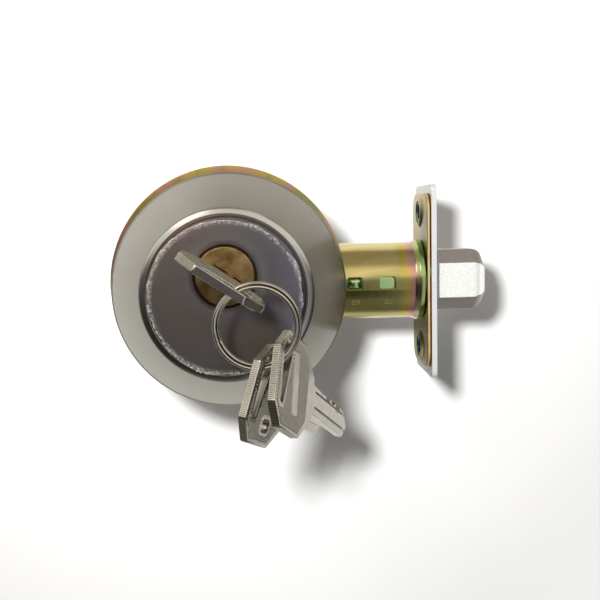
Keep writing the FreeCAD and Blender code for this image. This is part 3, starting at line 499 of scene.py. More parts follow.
# Painted reflection: a warm brown patch below right of the plug, mixed into the face's colour by distance.
PAINTED_WARM_REFLECTION = ((8, FACE_Y, -11), (1.0, 9.0), "#93805f", 0.5)
tone_out = painted_reflection_tone.outputs[0]
for spot, (near, far), colour, strength in (PAINTED_HIGHLIGHT_ROUND_PLUG, PAINTED_WARM_REFLECTION):
    away = add_node(tree, "ShaderNodeVectorMath", {"operation": "DISTANCE", 1: [c * MM for c in spot]},
                    {0: place.outputs["Object"]})
    glow = add_node(tree, "ShaderNodeMapRange", {"interpolation_type": "SMOOTHSTEP", "From Min": near * MM,
                                                 "From Max": far * MM, "To Min": strength, "To Max": 0.0},
                    {"Value": away.outputs["Value"]})
    mixed = add_node(tree, "ShaderNodeMix", {"data_type": "RGBA", 7: linear(colour)},
                     {0: glow.outputs[0], 6: tone_out})
    tone_out = mixed.outputs[2]
streak = add_node(tree, "ShaderNodeMapRange", {"To Min": 0.92, "To Max": 1.06},
                  {"Value": lines.outputs["Fac"]})
toned = add_node(tree, "ShaderNodeVectorMath", {"operation": "SCALE"},
                 {0: tone_out, "Scale": streak.outputs[0]})
tree.links.new(toned.outputs[0], shader.inputs["Base Color"])
face_shell.data.materials.append(dark_satin)
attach(face_shell, "lock_body")
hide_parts("cylinder_face_shell")

# Protective film left on the face: thin clear plastic, cut with a knife round the edge.
# Its middle lies flat and nearly unseen; its rim is torn, whitened and lifts in small tatters.
FILM_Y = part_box("face_film")[0].y / MM
FILM_STEPS = 360
HANG_STEP = 250
HANG_SPREAD = 11
TATTERS = 70
FILM_THICK = 0.08
FILM_FLAT = 17.2
FILM_REACH = 20.2
WHITE_FROM = 18.6
WHITE_BAND = 0.9
FILM_RINGS = (PLUG_R + 1.5, 12.0, 15.5, FILM_FLAT, 18.3, 18.9, 19.3, 19.6)
rng = random.Random(11)
tatters = [0.0] * FILM_STEPS
for tatter in range(TATTERS):
    middle = rng.randrange(FILM_STEPS)
    breadth = rng.uniform(1.5, 7)
    size = rng.uniform(-0.45, 0.5)
    for offset in range(-12, 13):
        tatters[(middle + offset) % FILM_STEPS] += size * math.exp(-(offset / breadth) ** 2)
points = []
for step in range(FILM_STEPS):
    turn = 2 * math.pi * step / FILM_STEPS
    for index, ring in enumerate(FILM_RINGS):
        share = max(0.0, (ring - FILM_FLAT) / 2.6)
        radius = ring
        lift = 0.0
        if share > 0:
            radius = min(FILM_REACH, ring + share * max(-1.0, min(0.6, tatters[step])) * 0.8)
            hang = max(0.0, 1 - abs(step - HANG_STEP) / HANG_SPREAD)
            radius += share ** 3 * hang * rng.uniform(0.5, 1.3)
            lift = share * (0.06 + 0.12 * abs(tatters[step]) + rng.uniform(0, 0.06))
        slide = PLUG_Z * max(0.0, (FILM_FLAT - ring) / (FILM_FLAT - PLUG_R - 1.5))
        points.append((radius * math.cos(turn), FILM_Y - lift, radius * math.sin(turn) + slide))
rings = len(FILM_RINGS)
top_count = len(points)
points += [(x, y + FILM_THICK, z) for x, y, z in points]
faces = []
for step in range(FILM_STEPS):
    near = step * rings
    far = (step + 1) % FILM_STEPS * rings
    for index in range(rings - 1):
        faces.append((near + index, near + index + 1, far + index + 1, far + index))
        faces.append((top_count + near + index, top_count + far + index,
                      top_count + far + index + 1, top_count + near + index + 1))
    for edge in (0, rings - 1):
        faces.append((near + edge, far + edge, top_count + far + edge, top_count + near + edge))
film = make_piece("torn_face_film", points, faces, 60)
wear = film.data.attributes.new("wear", "FLOAT", "POINT")
for vertex in film.data.vertices:
    reach = math.hypot(vertex.co.x, vertex.co.z) / MM
    wear.data[vertex.index].value = max(0.0, min(1.0, (reach - WHITE_FROM) / WHITE_BAND))
torn_film, tree, shader = start_finish("clear_plastic_film_torn", {
    "Base Color": linear("#a3a39e"),
    "Metallic": 0.0,
    "Roughness": 0.3,
    "IOR": 1.49,
    "Alpha": 0.1,
})
worn = add_node(tree, "ShaderNodeAttribute", {"attribute_name": "wear"})
place = add_node(tree, "ShaderNodeTexCoord")
crumple = add_node(tree, "ShaderNodeTexNoise", {"Scale": 1 / (0.6 * MM), "Detail": 4.0, "Roughness": 0.7},
                   {"Vector": place.outputs["Object"]})
crease = add_node(tree, "ShaderNodeMapRange",
                  {"From Min": 0.44, "From Max": 0.62, "To Min": 0.02, "To Max": 1.0},
                  {"Value": crumple.outputs["Fac"]})
white = add_node(tree, "ShaderNodeMath", {"operation": "MULTIPLY"},
                 {0: worn.outputs["Fac"], 1: crease.outputs[0]})
seen = add_node(tree, "ShaderNodeMapRange", {"To Min": 0.02, "To Max": 0.42}, {"Value": white.outputs[0]})
tree.links.new(seen.outputs[0], shader.inputs["Alpha"])
bump = add_node(tree, "ShaderNodeBump", {"Strength": 0.3, "Distance": 0.1 * MM},
                {"Height": crumple.outputs["Fac"]})
tree.links.new(bump.outputs[0], shader.inputs["Normal"])
film.data.materials.append(torn_film)
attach(film, "lock_body")
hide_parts("face_film")

# Plug: turned brass, with a broached keyway that snakes between its wards and a milled fan that
# leads the key in. It stands a hair proud of the face and turns with the key.
KEY_TURN = math.radians(56)
PLUG_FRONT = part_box("plug")[0].y / MM
PLUG_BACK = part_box("plug")[1].y / MM


def upright_to_turned(u, v):
    """A point drawn with the key upright, u to its side and v up from the plug's middle."""
    return (u * math.cos(KEY_TURN) - v * math.sin(KEY_TURN),
            PLUG_Z + u * math.sin(KEY_TURN) + v * math.cos(KEY_TURN))


def prism_y(name, outline, low, high, sharp=30):
    """An outline in X and Z between two depths on Y."""
    count = len(outline)
    points = [(x, low, z) for x, z in outline] + [(x, high, z) for x, z in outline]
    faces = [tuple(range(count)), tuple(range(2 * count - 1, count - 1, -1))]
    for index in range(count):
        after = (index + 1) % count
        faces.append((index, after, count + after, count + index))
    return make_piece(name, points, faces, sharp)


plug = lathe("brass_plug", ease((
    (0, PLUG_FRONT),
    (7.5, PLUG_FRONT, 0.35),
    (7.5, FACE_Y + 2.6, 0.2),
    (6.35, FACE_Y + 2.6),
    (6.35, PLUG_BACK, 0.3),
    (0, PLUG_BACK),
)), centre=(0, PLUG_Z), steps=96)
KEYWAY = ((-1.15, -4.2), (1.15, -4.2), (1.15, -1.9), (0.45, -1.5), (0.45, -0.4), (1.15, 0.0), (1.15, 3.8),
          (-1.15, 3.8), (-1.15, 2.3), (-0.45, 1.9), (-0.45, 1.0), (-1.15, 0.7))
keyway = prism_y("keyway", [upright_to_turned(u, v) for u, v in KEYWAY], PLUG_FRONT - 1, PLUG_BACK + 1)
MOUTH = ((-0.75, 3.0), (0.55, 3.0), (0.55, 8.2), (-0.75, 8.2))
keyway_mouth = prism_y("keyway_mouth", [upright_to_turned(u, v) for u, v in MOUTH],
                       PLUG_FRONT - 1, PLUG_FRONT + 2.2)
fan = []
for step in range(19):
    turn = math.radians(-28 + 96 * step / 18)
    fan.append(upright_to_turned(4.9 * math.sin(turn), 4.9 * math.cos(turn) - 0.6))
fan.append(upright_to_turned(0, -1.4))
fan_cut = prism_y("fan_cut", fan, PLUG_FRONT - 1, PLUG_FRONT + 0.4)
carve(plug, [fan_cut, keyway, keyway_mouth])
brass, tree, shader = start_finish("machined_brass", {
    "Base Color": linear("#b08a4c"),
    "Metallic": 1.0,
    "Roughness": 0.34,
})
mill = turned_lines(tree, 0.14, (0, 0, PLUG_Z))
rough = add_node(tree, "ShaderNodeMapRange", {"To Min": 0.28, "To Max": 0.48},
                 {"Value": mill.outputs["Fac"]})
tree.links.new(rough.outputs[0], shader.inputs["Roughness"])
place = add_node(tree, "ShaderNodeTexCoord")
tarnish = add_node(tree, "ShaderNodeTexNoise", {"Scale": 1 / (3.0 * MM), "Detail": 4.0},
                   {"Vector": place.outputs["Object"]})
tone = set_ramp(add_node(tree, "ShaderNodeValToRGB", {}, {0: tarnish.outputs["Fac"]}), (
    (0.35, "#8a6c44"),
    (0.50, "#a3855a"),
    (0.68, "#b59968"),
))
tree.links.new(tone.outputs[0], shader.inputs["Base Color"])
bump = add_node(tree, "ShaderNodeBump", {"Strength": 0.2, "Distance": 0.03 * MM},
                {"Height": mill.outputs["Fac"]})
tree.links.new(bump.outputs[0], shader.inputs["Normal"])
plug.data.materials.append(brass)
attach(plug, "plug")
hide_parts("plug")

# Bolt tube: rolled steel tube, yellow-zinc plated, with a window for each backset and a bead
# pressed in before the flange. The colours change most where the bead was worked.
tube_low, tube_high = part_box("bolt_tube")
TUBE_START = tube_low.x / MM
TUBE_END = tube_high.x / MM
TUBE_R = 11.5
TUBE_WALL = 0.9
BEAD_R = 12.2
NECK_R = 10.4
NECK_BORE = 9.9
FLANGE_R = 12.0
WINDOWS = (36.0, 45.7)
WINDOW_HALF = (2.35, 1.95)
tube = lathe("bolt_tube_rolled", ease((
    (TUBE_R - TUBE_WALL, TUBE_START),
    (TUBE_R, TUBE_START, 0.15),
    (TUBE_R, 54.2, 1.5),
    (BEAD_R, 55.5, 0.6),
    (BEAD_R, 56.8, 0.5),
    (TUBE_R, 57.3, 0.3),
    (NECK_R, 57.35),
    (NECK_R, 58.25),
    (FLANGE_R, 58.3, 0.1),
    (FLANGE_R, TUBE_END),
    (NECK_BORE, TUBE_END),
    (NECK_BORE, 56.7),
    (TUBE_R - TUBE_WALL, 56.7),
)), axis="X", steps=128)


def round_cornered(half_u, half_v, radius, middle=0.0, steps=5):
    """A rectangle's outline with round corners, its middle moved along u."""
    corners = ((-1, -1), (1, -1), (1, 1), (-1, 1))
    return ease([(middle + u * half_u, v * half_v, radius) for u, v in corners], steps)


for middle in WINDOWS:
    window = round_cornered(*WINDOW_HALF, 0.8, middle)
    carve(tube, [prism_y("window", window, -TUBE_R - 2.5, TUBE_R + 2.5)])
tube_zinc, tree, shader, patches, colours = yellow_zinc("yellow_zinc_on_tube", 16, (
    (0.30, "#a09a5c"),
    (0.46, "#aaa166"),
    (0.56, "#c9b87c"),
    (0.70, "#b8ac68"),
), 0.2, (0.35, 1, 1))
place = add_node(tree, "ShaderNodeTexCoord")
axes = add_node(tree, "ShaderNodeSeparateXYZ", {}, {0: place.outputs["Object"]})
waver = add_node(tree, "ShaderNodeMath", {"operation": "MULTIPLY_ADD", 1: 7 * MM},
                 {0: patches.outputs["Fac"], 2: axes.outputs["X"]})
worked = add_node(tree, "ShaderNodeMapRange", {"From Min": 52 * MM, "From Max": 62 * MM},
                  {"Value": waver.outputs[0]})
heat = set_ramp(add_node(tree, "ShaderNodeValToRGB", {}, {0: worked.outputs[0]}), (
    (0.05, "#b8ae6c"),
    (0.22, "#bdb04e"),
    (0.36, "#cda668"),
    (0.48, "#c79a86"),
    (0.60, "#b39a88"),
    (0.72, "#a3b26a"),
    (0.86, "#8fae7c"),
))
amount = add_node(tree, "ShaderNodeMapRange", {"From Min": 0.0, "From Max": 0.2},
                  {"Value": worked.outputs[0]})
both = add_node(tree, "ShaderNodeMix", {"data_type": "RGBA"},
                {0: amount.outputs[0], 6: colours.outputs[0], 7: heat.outputs[0]})
tree.links.new(both.outputs[2], shader.inputs["Base Color"])
tube.data.materials.append(tube_zinc)
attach(tube, "lock_body")
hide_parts("bolt_tube")

# The two backsets, 60 and 70 mm, are struck into the tube beside their windows, read from the far side.
# Each digit is a shallow mark that catches a little light.
DIGIT_TALL = 2.6
DIGIT_SPOT = (0.4, 5.7)
digits = []
for middle, number in zip(WINDOWS, ("60", "70")):
    words = bpy.data.curves.new("backset_" + number, "FONT")
    words.body = number
    words.size = DIGIT_TALL
    words.extrude = 0.05
    words.align_x = "CENTER"
    words.align_y = "CENTER"
    mark = put_in_scene("backset_" + number, words)
    bpy.context.view_layer.update()
    mesh = bpy.data.meshes.new_from_object(mark.evaluated_get(bpy.context.evaluated_depsgraph_get()))
    bpy.data.objects.remove(mark)
    shape = bmesh.new()
    shape.from_mesh(mesh)
    bmesh.ops.remove_doubles(shape, verts=shape.verts, dist=1e-5)
    bmesh.ops.subdivide_edges(shape, edges=[e for e in shape.edges if e.calc_length() > 0.5], cuts=2)
    for vertex in shape.verts:
        u, v, w = vertex.co
        turn = (DIGIT_SPOT[1] + v) / TUBE_R
        radius = TUBE_R + 0.01 + w
        vertex.co = ((middle + DIGIT_SPOT[0] - u) * MM, -radius * math.cos(turn) * MM,
                     -radius * math.sin(turn) * MM)
    bmesh.ops.recalc_face_normals(shape, faces=shape.faces)
    shape.to_mesh(mesh)
    shape.free()
    digits.append(put_in_scene("struck_" + number, mesh))
struck, tree, shader = start_finish("struck_mark_in_zinc", {
    "Base Color": linear("#c2b47a"),
    "Metallic": 1.0,
    "Roughness": 0.4,
})
place = add_node(tree, "ShaderNodeTexCoord")
fine = add_node(tree, "ShaderNodeTexNoise", {"Scale": 1 / (0.4 * MM), "Detail": 2.0},
                {"Vector": place.outputs["Object"]})
tone = add_node(tree, "ShaderNodeMix", {"data_type": "RGBA", 6: linear("#9a8b58"), 7: linear("#d3c68e")},
                {0: fine.outputs["Fac"]})
tree.links.new(tone.outputs[2], shader.inputs["Base Color"])
for mark in digits:
    mark.data.materials.append(struck)
    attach(mark, "lock_body")

# Backset sleeve: a thinner tube inside, whose sprung tab snaps into the first window.
# It has the same plating, greener and shinier because nothing has rubbed it.
sleeve_low, sleeve_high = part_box("backset_sleeve")
SLEEVE_R = 10.5
SLEEVE_BORE = 9.75
sleeve = lathe("backset_sleeve_tube", ease((
    (SLEEVE_BORE, sleeve_low.x / MM, 0.1),
    (SLEEVE_R, sleeve_low.x / MM, 0.1),
    (SLEEVE_R, sleeve_high.x / MM, 0.1),
    (SLEEVE_BORE, sleeve_high.x / MM, 0.1),
)), axis="X", steps=96)
tab_points = []
TAB_STEPS = 8
TAB_HALF = (2.0, 1.6)
TAB_THICK = 0.5
for row in range(TAB_STEPS + 1):
    for column in range(TAB_STEPS + 1):
        u = -1 + 2 * column / TAB_STEPS
        v = -1 + 2 * row / TAB_STEPS
        crown = (1 - u ** 4) * (1 - v ** 4)
        z = v * TAB_HALF[1]
        radius = 10.2 + 1.0 * crown
        tab_points.append((WINDOWS[0] + u * TAB_HALF[0], -math.sqrt(radius ** 2 - z * z), z))
tab_faces = []
for row in range(TAB_STEPS):
    for column in range(TAB_STEPS):
        corner = row * (TAB_STEPS + 1) + column
        tab_faces.append((corner, corner + 1, corner + TAB_STEPS + 2, corner + TAB_STEPS + 1))
tab = make_piece("backset_tab", tab_points, tab_faces, 60)
wall = tab.modifiers.new("wall", "SOLIDIFY")
wall.thickness = TAB_THICK * MM
wall.offset = 0
settle(tab, 60)
sleeve_zinc = yellow_zinc("yellow_zinc_on_sleeve", 9, (
    (0.32, "#8fc088"),
    (0.48, "#9ec890"),
    (0.60, "#b7c47a"),
    (0.72, "#9c9a58"),
), 0.2)[0]
for piece in (sleeve, tab):
    piece.data.materials.append(sleeve_zinc)
    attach(piece, "lock_body")
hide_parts("backset_sleeve")

# Faceplate: satin steel plate with two screw dimples pressed back through the rounded plate behind it.
# Its cut edge is bright; the dimples are coloured a mottled blue, a painted bluish reflection.
plate_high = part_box("faceplate")[1]
PLATE_THICK = 1.6
PLATE_X = (plate_high.x / MM - PLATE_THICK, plate_high.x / MM)
PLATE_HALF = (plate_high.y / MM, plate_high.z / MM)
SCREW_RISE = 20.5
DIMPLE_R = 3.75
BOLT_OPENING = (7.3, 9.4)
BOLT_CHAMFER = 4.0


def signed_area(outline):
    pairs = zip(outline, outline[1:] + outline[:1])
    return sum(a[0] * b[1] - a[1] * b[0] for a, b in pairs) / 2


def flatten(mesh, least=1.0):
    """Flat shading on faces over an area in square millimetres, so that plates show no false bend."""
    for face in mesh.polygons:
        if face.area > least * MM * MM:
            face.use_smooth = False


def flat_plate(name, outer, holes, low, high, bevel, lay=Matrix.Identity(4)):
    """A plate with holes and eased edges between two heights, laid by a matrix in millimetres."""
    curve = bpy.data.curves.new(name, "CURVE")
    curve.dimensions = "2D"
    curve.fill_mode = "BOTH"
    curve.extrude = (high - low) / 2 - bevel
    curve.bevel_depth = bevel
    curve.bevel_resolution = 1
    curve.offset = -bevel
    for outline, way in [(outer, 1)] + [(hole, -1) for hole in holes]:
        if signed_area(outline) * way < 0:
            outline = outline[::-1]
        spline = curve.splines.new("POLY")
        spline.points.add(len(outline) - 1)
        spline.use_cyclic_u = True
        for point, (u, v) in zip(spline.points, outline):
            point.co = (u, v, 0, 1)
    drawn = put_in_scene(name + "_outline", curve)
    bpy.context.view_layer.update()
    mesh = bpy.data.meshes.new_from_object(drawn.evaluated_get(bpy.context.evaluated_depsgraph_get()))
    bpy.data.objects.remove(drawn)
    mesh.name = name
    mesh.transform(Matrix.Translation((0, 0, (low + high) / 2)))
    mesh.transform(lay)
    shape = bmesh.new()
    shape.from_mesh(mesh)
    bmesh.ops.remove_doubles(shape, verts=shape.verts, dist=1e-4)
    bmesh.ops.recalc_face_normals(shape, faces=shape.faces)
    bmesh.ops.scale(shape, vec=(MM, MM, MM), verts=shape.verts)
    shape.to_mesh(mesh)
    shape.free()
    mesh.materials.clear()
    shade(mesh)
    flatten(mesh)
    return put_in_scene(name, mesh)


def circle(u, v, radius, steps=48):
    return [(u + radius * math.cos(2 * math.pi * s / steps), v + radius * math.sin(2 * math.pi * s / steps))
            for s in range(steps)]


def octagon(wide, tall, chamfer, corner):
    """A rectangle with its four corners cut off and each new corner eased."""
    return ease([(u, v, corner) for u, v in (
        (-wide, -tall + chamfer),
        (-wide + chamfer, -tall),
        (wide - chamfer, -tall),
        (wide, -tall + chamfer),
        (wide, tall - chamfer),
        (wide - chamfer, tall),
        (-wide + chamfer, tall),
        (-wide, tall - chamfer),
    )], 3)


STAND_ON_X = Matrix(((0, 0, 1, 0), (1, 0, 0, 0), (0, 1, 0, 0), (0, 0, 0, 1)))
faceplate = flat_plate(
    "faceplate_plate",
    round_cornered(*PLATE_HALF, 2.0),
    [circle(0, SCREW_RISE, DIMPLE_R), circle(0, -SCREW_RISE, DIMPLE_R),
     octagon(*BOLT_OPENING, BOLT_CHAMFER, 0.4)],
    *PLATE_X, 0.12, STAND_ON_X)
satin_steel, tree, shader = start_finish("satin_nickel_plate", {
    "Base Color": linear("#b3b3b1"),
    "Metallic": 1.0,
    "Roughness": 0.28,
    "Anisotropic": 0.4,
})
place = add_node(tree, "ShaderNodeTexCoord")
drawn = add_node(tree, "ShaderNodeVectorMath", {"operation": "MULTIPLY", 1: (1, 1, 0.03)},
                 {0: place.outputs["Object"]})
lines = add_node(tree, "ShaderNodeTexNoise", {"Scale": 1 / (0.15 * MM), "Detail": 3.0},
                 {"Vector": drawn.outputs[0]})
rough = add_node(tree, "ShaderNodeMapRange", {"To Min": 0.22, "To Max": 0.38},
                 {"Value": lines.outputs["Fac"]})
tree.links.new(rough.outputs[0], shader.inputs["Roughness"])
tone = add_node(tree, "ShaderNodeMix", {"data_type": "RGBA", 6: linear("#a6a6a5"), 7: linear("#c0c0bd")},
                {0: lines.outputs["Fac"]})
tree.links.new(tone.outputs[2], shader.inputs["Base Color"])
# Painted reflection: the dimples' colour is a mottled blue standing in for the bluish light they reflect.
blue_reflection_paint, tree, shader = start_finish("dimple_blue_painted_reflection", {
    "Base Color": linear("#6f8fa8"),
    "Metallic": 1.0,
    "Roughness": 0.2,
})
place = add_node(tree, "ShaderNodeTexCoord")
blue_reflection_mottle = add_node(tree, "ShaderNodeTexNoise", {"Scale": 1 / (1.6 * MM), "Detail": 3.0, "Distortion": 0.5},
                 {"Vector": place.outputs["Object"]})
tone = set_ramp(add_node(tree, "ShaderNodeValToRGB", {}, {0: blue_reflection_mottle.outputs["Fac"]}), (
    (0.34, "#3f6f97"),
    (0.50, "#7796a8"),
    (0.62, "#a9a49c"),
))
tree.links.new(tone.outputs[0], shader.inputs["Base Color"])
sheared_steel, tree, shader = start_finish("sheared_plate_edge", {
    "Base Color": linear("#cfd0d0"),
    "Metallic": 0.4,
    "Roughness": 0.42,
})
place = add_node(tree, "ShaderNodeTexCoord")
drawn = add_node(tree, "ShaderNodeVectorMath", {"operation": "MULTIPLY", 1: (0.1, 1, 1)},
                 {0: place.outputs["Object"]})
burr = add_node(tree, "ShaderNodeTexNoise", {"Scale": 1 / (0.5 * MM), "Detail": 3.0},
                {"Vector": drawn.outputs[0]})
tone = add_node(tree, "ShaderNodeMix", {"data_type": "RGBA", 6: linear("#bcbebf"), 7: linear("#dcdddc")},
                {0: burr.outputs["Fac"]})
tree.links.new(tone.outputs[2], shader.inputs["Base Color"])
faceplate.data.materials.append(satin_steel)
faceplate.data.materials.append(sheared_steel)
for face in faceplate.data.polygons:
    face.material_index = 1 if abs(face.normal.x) < 0.5 else 0
dimples = []
for side, end in ((1, "upper"), (-1, "lower")):
    dimple = lathe("screw_dimple_" + end, ease((
        (2.4, 56.95, 0.15),
        (3.1, 56.95, 0.3),
        (3.1, 58.6, 0.2),
        (3.85, 58.8),
        (3.85, PLATE_X[1] - 0.12, 0.1),
        (2.4, 58.35, 0.2),
    )), axis="X", centre=(0, side * SCREW_RISE), steps=48)
    dimple.data.materials.append(blue_reflection_paint)
    dimples.append(dimple)
for piece in [faceplate] + dimples:
    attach(piece, "lock_body")
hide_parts("faceplate")

# Backing plate: a rounded plate behind the faceplate, yellow-zinc plated like the tube,
# its holes drawn back into low collars round the dimples.
back_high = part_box("faceplate_backing")[1]
BACK_HALF = (back_high.y / MM, back_high.z / MM)
BACK_X = (57.3, 58.3)
COLLAR_BORE = 3.25
BACK_BORE = 10.45
backing = flat_plate(
    "backing_plate",
    round_cornered(*BACK_HALF, 5.0, steps=10),
    [circle(0, SCREW_RISE, COLLAR_BORE), circle(0, -SCREW_RISE, COLLAR_BORE), circle(0, 0, BACK_BORE, 96)],
    *BACK_X, 0.2, STAND_ON_X)
collars = []
for side, end in ((1, "upper"), (-1, "lower")):
    collars.append(lathe("dimple_collar_" + end, ease((
        (COLLAR_BORE, 56.7),
        (3.75, 56.7, 0.2),
        (4.9, 57.35),
        (COLLAR_BORE, 57.35),
    )), axis="X", centre=(0, side * SCREW_RISE), steps=48))
backing_zinc = yellow_zinc("yellow_zinc_on_backing", 15, (
    (0.30, "#6f6a55"),
    (0.44, "#8b8452"),
    (0.55, "#a08d58"),
    (0.64, "#8c9a5c"),
    (0.74, "#a89a52"),
), 0.3)[0]
edge_zinc, tree, shader = yellow_zinc("yellow_zinc_on_cut_edge", 6, (
    (0.34, "#c79a62"),
    (0.50, "#d6ae74"),
    (0.66, "#d9b98c"),
), 0.36)[:3]
shader.inputs["Metallic"].default_value = 0.5
for piece in [backing] + collars:
    piece.data.materials.append(backing_zinc)
    piece.data.materials.append(edge_zinc)
    for face in piece.data.polygons:
        face.material_index = 1 if piece is backing and abs(face.normal.x) < 0.3 else 0
    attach(piece, "lock_body")
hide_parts("faceplate_backing")

# Bolt: a bright zinc-plated steel bar with its four long edges chamfered and its nose eased.
# The plating on the flats is crystalline and sparkles; on the chamfers it is smooth.
bolt_low, bolt_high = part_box("bolt")
BOLT_HALF = (bolt_high.y / MM, bolt_high.z / MM)
BOLT_ENDS = (bolt_low.x / MM, bolt_high.x / MM)
NOSE = 3.3
section = octagon(*BOLT_HALF, BOLT_CHAMFER, 0.35)
count = len(section)
NOSE_STEPS = 8
stations = [(BOLT_ENDS[0], 0.0), (BOLT_ENDS[0] + 0.3, 0.0)]
for step in range(NOSE_STEPS + 1):
    turn = math.pi / 2 * step / NOSE_STEPS
    stations.append((BOLT_ENDS[1] - NOSE + NOSE * math.sin(turn), NOSE * (1 - math.cos(turn))))
points = []
for x, drop in stations:
    ease_side = min(drop, 0.5)
    for y, z in section:
        points.append((x, y * (1 - ease_side / BOLT_HALF[0]), z * (1 - drop / BOLT_HALF[1])))
faces = [tuple(range(count)), tuple(range(len(points) - 1, len(points) - count - 1, -1))]
for row in range(len(stations) - 1):
    for index in range(count):
        after = (index + 1) % count
        faces.append((row * count + index, row * count + after, (row + 1) * count + after,
                      (row + 1) * count + index))
bolt = make_piece("bolt_bar", points, faces, 25)
REAR = BOLT_ENDS[0]
ROLLER_R = 3.05
ROLLER_END = REAR + 30.1
roller_bore = lathe("roller_bore", (
    (0, REAR - 1),
    (ROLLER_R, REAR - 1),
    (ROLLER_R, ROLLER_END),
    (0, ROLLER_END),
), axis="X", centre=(0, 1.6), steps=48)
link_slot = prism_y("link_slot", (
    (REAR - 1, -12),
    (REAR + 9, -12),
    (REAR + 9, -1.9),
    (REAR - 1, -1.9),
), -3.5, 3.5)
rivet_bore = prism_y("rivet_bore", circle(REAR + 4.5, -5.4, 1.5, 32), -10, 10)
carve(bolt, [roller_bore, link_slot, rivet_bore], sharp=25)
flatten(bolt.data)
sparkle, tree, shader = start_finish("crystalline_zinc_plate", {
    "Base Color": linear("#f0f0ec"),
    "Metallic": 0.25,
    "Roughness": 0.45,
})
place = add_node(tree, "ShaderNodeTexCoord")
crystal = add_node(tree, "ShaderNodeTexVoronoi", {"Scale": 1 / (0.3 * MM)},
                   {"Vector": place.outputs["Object"]})
grey = add_node(tree, "ShaderNodeSeparateColor", {}, {0: crystal.outputs["Color"]})
tone = set_ramp(add_node(tree, "ShaderNodeValToRGB", {}, {0: grey.outputs[0]}), (
    (0.0, "#cfcfca"),
    (0.5, "#dadad5"),
    (1.0, "#e4e4e0"),
))
tree.links.new(tone.outputs[0], shader.inputs["Base Color"])
rough = add_node(tree, "ShaderNodeMapRange", {"To Min": 0.3, "To Max": 0.6}, {"Value": grey.outputs[1]})
tree.links.new(rough.outputs[0], shader.inputs["Roughness"])
bump = add_node(tree, "ShaderNodeBump", {"Strength": 0.12, "Distance": 0.04 * MM},
                {"Height": grey.outputs[2]})
tree.links.new(bump.outputs[0], shader.inputs["Normal"])
smooth_zinc, tree, shader = start_finish("smooth_zinc_plate", {
    "Base Color": linear("#aaa29a"),
    "Metallic": 1.0,
    "Roughness": 0.3,
})
place = add_node(tree, "ShaderNodeTexCoord")
drawn = add_node(tree, "ShaderNodeVectorMath", {"operation": "MULTIPLY", 1: (0.05, 1, 1)},
                 {0: place.outputs["Object"]})
lines = add_node(tree, "ShaderNodeTexNoise", {"Scale": 1 / (0.25 * MM), "Detail": 3.0},
                 {"Vector": drawn.outputs[0]})
tone = add_node(tree, "ShaderNodeMix", {"data_type": "RGBA", 6: linear("#b5aca4"), 7: linear("#cac3bb")},
                {0: lines.outputs["Fac"]})
tree.links.new(tone.outputs[2], shader.inputs["Base Color"])
rough = add_node(tree, "ShaderNodeMapRange", {"To Min": 0.24, "To Max": 0.4},
                 {"Value": lines.outputs["Fac"]})
tree.links.new(rough.outputs[0], shader.inputs["Roughness"])
bolt.data.materials.append(smooth_zinc)
bolt.data.materials.append(sparkle)
for face in bolt.data.polygons:
    face.material_index = 1 if abs(face.normal.y) > 0.9 else 0
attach(bolt, "bolt")
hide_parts("bolt")

# Split ring: two turns of flattened nickel-plated wire with a joggle where one turn passes
# to the other, and two cut ends. It runs through the slots of all three keys.
ring_low, ring_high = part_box("key_ring")
RING_CENTRE = (ring_low + ring_high) / 2 / MM
WIRE_R = (ring_high.y - ring_low.y) / 2 / MM
RING_MEAN = (ring_high.x - ring_low.x) / 2 / MM - WIRE_R
WIRE_WIDE = 1.7
WIRE_THICK = 0.86
RING_START = 200
RING_SWEEP = 686
RING_STEPS = 240
JOGGLE_START = 332
JOGGLE_SWEEP = 26
CUT_END = 0.82
WIRE_LOBE = WIRE_THICK / 2
wire = []
for side in (1, -1):
    for step in range(11):
        turn = math.radians(-132 + 264 * step / 10)
        wire.append((side * (WIRE_WIDE / 2 - WIRE_LOBE) + side * WIRE_LOBE * math.cos(turn),
                     side * WIRE_LOBE * math.sin(turn)))
points = []
for step in range(RING_STEPS + 1):
    turned = RING_SWEEP * step / RING_STEPS
    share = min(1.0, max(0.0, (turned - JOGGLE_START) / JOGGLE_SWEEP))
    side = WIRE_THICK / 2 + 0.02
    shift = -side + 2 * side * share * share * (3 - 2 * share)
    turn = math.radians(RING_START + turned)
    shrink = CUT_END if step in (0, RING_STEPS) else 1.0
    for u, v in wire:
        reach = RING_MEAN + u * shrink
        points.append((RING_CENTRE.x + reach * math.cos(turn), RING_CENTRE.y + shift + v * shrink,
                       RING_CENTRE.z + reach * math.sin(turn)))
count = len(wire)
faces = [tuple(range(count)), tuple(range(len(points) - 1, len(points) - count - 1, -1))]
for step in range(RING_STEPS):
    for index in range(count):
        after = (index + 1) % count
        faces.append((step * count + index, step * count + after, (step + 1) * count + after,
                      (step + 1) * count + index))
split_ring = make_piece("split_ring", points, faces, 45)
nickel_wire, tree, shader = start_finish("bright_nickel_wire", {
    "Base Color": linear("#b5ad9e"),
    "Metallic": 1.0,
    "Roughness": 0.18,
})
drawn_lines = turned_lines(tree, 0.2, RING_CENTRE)
rough = add_node(tree, "ShaderNodeMapRange", {"To Min": 0.12, "To Max": 0.24},
                 {"Value": drawn_lines.outputs["Fac"]})
tree.links.new(rough.outputs[0], shader.inputs["Roughness"])
tone = add_node(tree, "ShaderNodeMix", {"data_type": "RGBA", 6: linear("#a39a89"), 7: linear("#c9c2b3")},
                {0: drawn_lines.outputs["Fac"]})
tree.links.new(tone.outputs[2], shader.inputs["Base Color"])
split_ring.data.materials.append(nickel_wire)
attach(split_ring, "key_ring")
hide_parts("key_ring")

